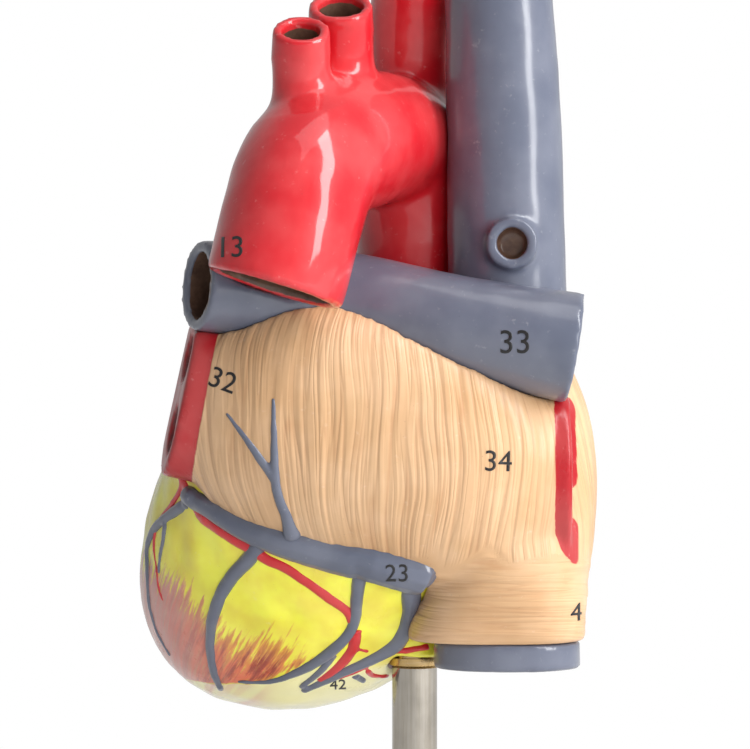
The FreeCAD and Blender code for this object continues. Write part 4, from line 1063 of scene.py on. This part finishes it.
class HEART_OT_magnets(bpy.types.Operator):
    """Finishes the disc magnets on the parting faces"""

    bl_idname = "heart.magnets"
    bl_label = "Magnets"

    def execute(self, context):
        nickel = settings("stand_finish").magnet_nickel
        plated = metal_material("magnet_nickel", nickel, 0.16, (1, 1, 1))
        finish_nodes(plated, "rear_magnets", "front_magnets")
        return {"FINISHED"}


class HEART_OT_stand(bpy.types.Operator):
    """Finishes the base, its ballast and pad, the rod, its fixings and the sleeve"""

    bl_idname = "heart.stand"
    bl_label = "Stand"

    def execute(self, context):
        stand = settings("stand_finish")
        plate = metal_material("plate_zinc", stand.plate_steel, 0.42, (1, 0.08, 1))
        steel = metal_material("rod_steel", stand.rod_steel, 0.10, (1, 1, 0.03))
        brass = metal_material("sleeve_brass", stand.sleeve_brass, 0.22, (0.1, 0.1, 1))
        finish_nodes(moulded_material("base_plastic", stand.base_white), "base_shell")
        finish_nodes(plate, "base_plate", "rod_washer", "rod_screw")
        finish_nodes(foam_material("pad_foam", stand.pad_black), "base_pad")
        finish_nodes(steel, "stand_rod")
        finish_nodes(brass, "socket_sleeve")
        return {"FINISHED"}


# ---- index numbers

# Text, place from the ring seen from behind, turn in degrees, size and the piece it is on.
NUMBERS = [
    ("13", -24.6, 47.4, 0, 1.0, "aorta_casting"),
    ("32", -27.2, 20.0, -20, 1.0, "atria"),
    ("33", 34.7, 28.0, 0, 1.12, "lung_artery_casting"),
    ("34", 31.2, 2.9, -2, 1.0, "atria"),
    ("23", 9.9, -21.0, 0, 0.85, "coronary_sinus_cast"),
    ("4", 48.6, -30.0, 0, 0.9, "atria"),
    ("0", 10.5, -38.2, -72, 0.62, "ventricles_rear"),
    ("42", -3.0, -47.6, 0, 0.6, "ventricles_rear"),
]
# A digit's height as a share of its text size, and how much bolder it is as a share of its height.
DIGIT_SHARE, BOLDER = 0.69, 0.001
# Distance between the cuts in a digit, their number to each side, and the ink's top and foot, in mm.
CUT_STEP, CUTS = 0.45, 12
INK_TOP, INK_FOOT = 0.10, -0.04


def number_mesh(text, height, turn):
    """Flat digits facing behind the heart, cut finely enough to follow a round surface."""
    curve = bpy.data.curves.new("number_" + text, "FONT")
    curve.body = text
    curve.size = height / DIGIT_SHARE * MM
    curve.align_x, curve.align_y = "CENTER", "CENTER"
    curve.offset = BOLDER * height * MM
    curve.fill_mode = "BOTH"
    mesh = drawn(curve)
    with opened(mesh) as shape:
        bmesh.ops.remove_doubles(shape, verts=shape.verts, dist=0.001 * MM)
        for axis in range(2):
            for cut in range(-CUTS, CUTS + 1):
                place, normal = Vector(), Vector()
                place[axis], normal[axis] = cut * CUT_STEP * MM, 1
                everything = shape.verts[:] + shape.edges[:] + shape.faces[:]
                bmesh.ops.bisect_plane(shape, geom=everything, plane_co=place, plane_no=normal)
        upright = Matrix.Rotation(math.radians(90), 3, "X")
        turned = upright @ Matrix.Rotation(math.radians(turn), 3, "Z")
        bmesh.ops.rotate(shape, verts=shape.verts, cent=(0, 0, 0), matrix=turned)
    return mesh


class HEART_OT_index_numbers(bpy.types.Operator):
    """Prints the index numbers on the castings"""

    bl_idname = "heart.index_numbers"
    bl_label = "Index numbers"

    def execute(self, context):
        ink = ink_material("number_ink", settings("heart_paint").ink_black)
        height = settings("heart_relief").number_height
        for text, x, z, turn, size, carrier in NUMBERS:
            mesh = number_mesh(text, height * size, turn)
            tree = surface_of(carrier)
            with opened(mesh) as shape:
                raised = bmesh.ops.extrude_face_region(shape, geom=shape.faces[:], use_keep_orig=True)
                top = {part for part in raised["geom"] if isinstance(part, bmesh.types.BMVert)}
                for vertex in shape.verts:
                    spot = vertex.co / MM
                    place, normal = on_back(tree, x + spot.x, z + spot.z)
                    vertex.co = place + normal * (INK_TOP if vertex in top else INK_FOOT) * MM
                bmesh.ops.recalc_face_normals(shape, faces=shape.faces)
            item = new_item("number_" + text, mesh)
            dress(item, ink, "heart", bpy.data.objects[carrier]["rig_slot"])
        return {"FINISHED"}


# ---- studio

WHITE = (1.0, 1.0, 1.0)
# How much of the white background shows in a glossy reflection.
MIRRORED = 0.45
# The middle of the picture lies this far to the patient's left of the rod, in metres.
CAMERA_ASIDE = 0.0088


def background_seen(tree):
    """How far a ray sees the white background: in full straight on or through glass, less in gloss."""
    rays = add(tree, "ShaderNodeLightPath").outputs
    camera, glass, gloss = (Shade(rays[f"Is {kind} Ray"]) for kind in ("Camera", "Transmission", "Glossy"))
    return maths("MAXIMUM", maths("MAXIMUM", camera, glass), gloss * MIRRORED)


def shown(tree, kind, share, first, second):
    """Shows two shaders, mixed by share, as a material's or the world's surface."""
    inputs = {0: share, 1: Shade(first.outputs[0]), 2: Shade(second.outputs[0])}
    both = Shade(add(tree, "ShaderNodeMixShader", inputs).outputs[0])
    add(tree, "ShaderNodeOutput" + kind, {"Surface": both})


def floor_material():
    """A pale floor that shows white beyond the object and keeps its shadow."""
    material, place = new_material("studio_floor")
    tree = material.node_tree
    tint = mixed(ramp(cloud(place, 3, 3, 0.5), 0.3, 0.7), (0.90, 0.90, 0.90), (0.94, 0.94, 0.94))
    away = worked("ShaderNodeVectorMath", "Value", {0: place}, operation="LENGTH")
    soft = add(tree, "ShaderNodeBsdfDiffuse", {"Color": tint})
    glow = add(tree, "ShaderNodeEmission", {"Color": WHITE, "Strength": 1.0})
    share = background_seen(tree) * ramp(away, 0.12, 0.42, 0.45, 1.0)
    shown(tree, "Material", share, soft, glow)
    return material


class HEART_OT_studio(bpy.types.Operator):
    """Sets the floor, the soft lamps and the camera"""

    bl_idname = "heart.studio"
    bl_label = "Studio"

    def execute(self, context):
        studio = settings("studio")
        scene = context.scene
        floor = new_item("studio_floor", bpy.data.meshes.new("studio_floor"))
        with opened(floor.data) as shape:
            bmesh.ops.create_circle(shape, cap_ends=True, segments=96, radius=6.0)
        floor.data.materials.append(floor_material())

        world = bpy.data.worlds.new("studio_room")
        world.use_nodes = True
        tree = world.node_tree
        tree.nodes.clear()
        room = add(tree, "ShaderNodeBackground", {"Color": WHITE, "Strength": studio.room_light})
        white = add(tree, "ShaderNodeBackground", {"Color": WHITE, "Strength": 1.0})
        shown(tree, "World", background_seen(tree), room, white)
        scene.world = world

        aim = Vector((0, 0, 0.15))
        rows = [
            ("key_lamp", (0.95, -0.60, 0.9), 0.32, 1.60, studio.key_power),
            ("side_lamp", (1.35, 0.1, 0.5), 1.30, 1.30, studio.side_power),
            ("top_lamp", (0.2, -0.25, 1.25), 0.60, 0.60, studio.fill_power * 0.2),
            ("fill_lamp", (0.55, -1.15, 0.1), 0.90, 0.40, studio.fill_power),
        ]
        for name, place, wide, tall, power in rows[: studio.lamp_count]:
            light = bpy.data.lights.new(name, "AREA")
            light.shape = "RECTANGLE"
            light.size, light.size_y = wide, tall
            light.energy = power
            item = new_item(name, light)
            item.location = place
            item.rotation_euler = (aim - Vector(place)).to_track_quat("-Z", "Y").to_euler()
            item.visible_glossy = name in ("key_lamp", "top_lamp")

        camera = bpy.data.cameras.new("studio_camera")
        camera.lens = studio.camera_lens
        camera.sensor_width = 36
        camera.dof.use_dof = False
        item = new_item("studio_camera", camera)
        item.location = (-CAMERA_ASIDE, -studio.camera_distance, studio.camera_height)
        item.rotation_euler = (math.radians(90), 0, 0)
        scene.camera = item
        scene.view_settings.view_transform = "Standard"
        return {"FINISHED"}


# ---- panel and registration

STEPS = [
    HEART_OT_ventricles, HEART_OT_atria, HEART_OT_great_vessels, HEART_OT_coronary_vessels,
    HEART_OT_valves, HEART_OT_magnets, HEART_OT_stand, HEART_OT_index_numbers, HEART_OT_studio,
]
SETTINGS = {
    "heart_paint": HeartPaint,
    "heart_relief": HeartRelief,
    "stand_finish": StandFinish,
    "studio": StudioSettings,
}


class HEART_PT_panel(bpy.types.Panel):
    """Lists the steps of the heart model"""

    bl_idname = "HEART_PT_panel"
    bl_label = "Heart model"
    bl_space_type = "VIEW_3D"
    bl_region_type = "UI"
    bl_category = "Heart model"

    def draw(self, context):
        for step in STEPS:
            self.layout.operator(step.bl_idname)
        for name, kind in SETTINGS.items():
            box = self.layout.box()
            for key in kind.__annotations__:
                box.prop(getattr(context.scene, name), key)


CLASSES = [*SETTINGS.values(), *STEPS, HEART_PT_panel]


def register():
    for kind in CLASSES:
        bpy.utils.register_class(kind)
    for name, kind in SETTINGS.items():
        setattr(bpy.types.Scene, name, PointerProperty(type=kind))


def unregister():
    for name in SETTINGS:
        delattr(bpy.types.Scene, name)
    for kind in reversed(CLASSES):
        bpy.utils.unregister_class(kind)


def main():
    register()
    bpy.ops.heart.ventricles()
    bpy.ops.heart.atria()
    bpy.ops.heart.great_vessels()
    bpy.ops.heart.coronary_vessels()
    bpy.ops.heart.valves()
    bpy.ops.heart.magnets()
    bpy.ops.heart.stand()
    bpy.ops.heart.index_numbers()
    bpy.ops.heart.studio()


if __name__ == "__main__":
    main()
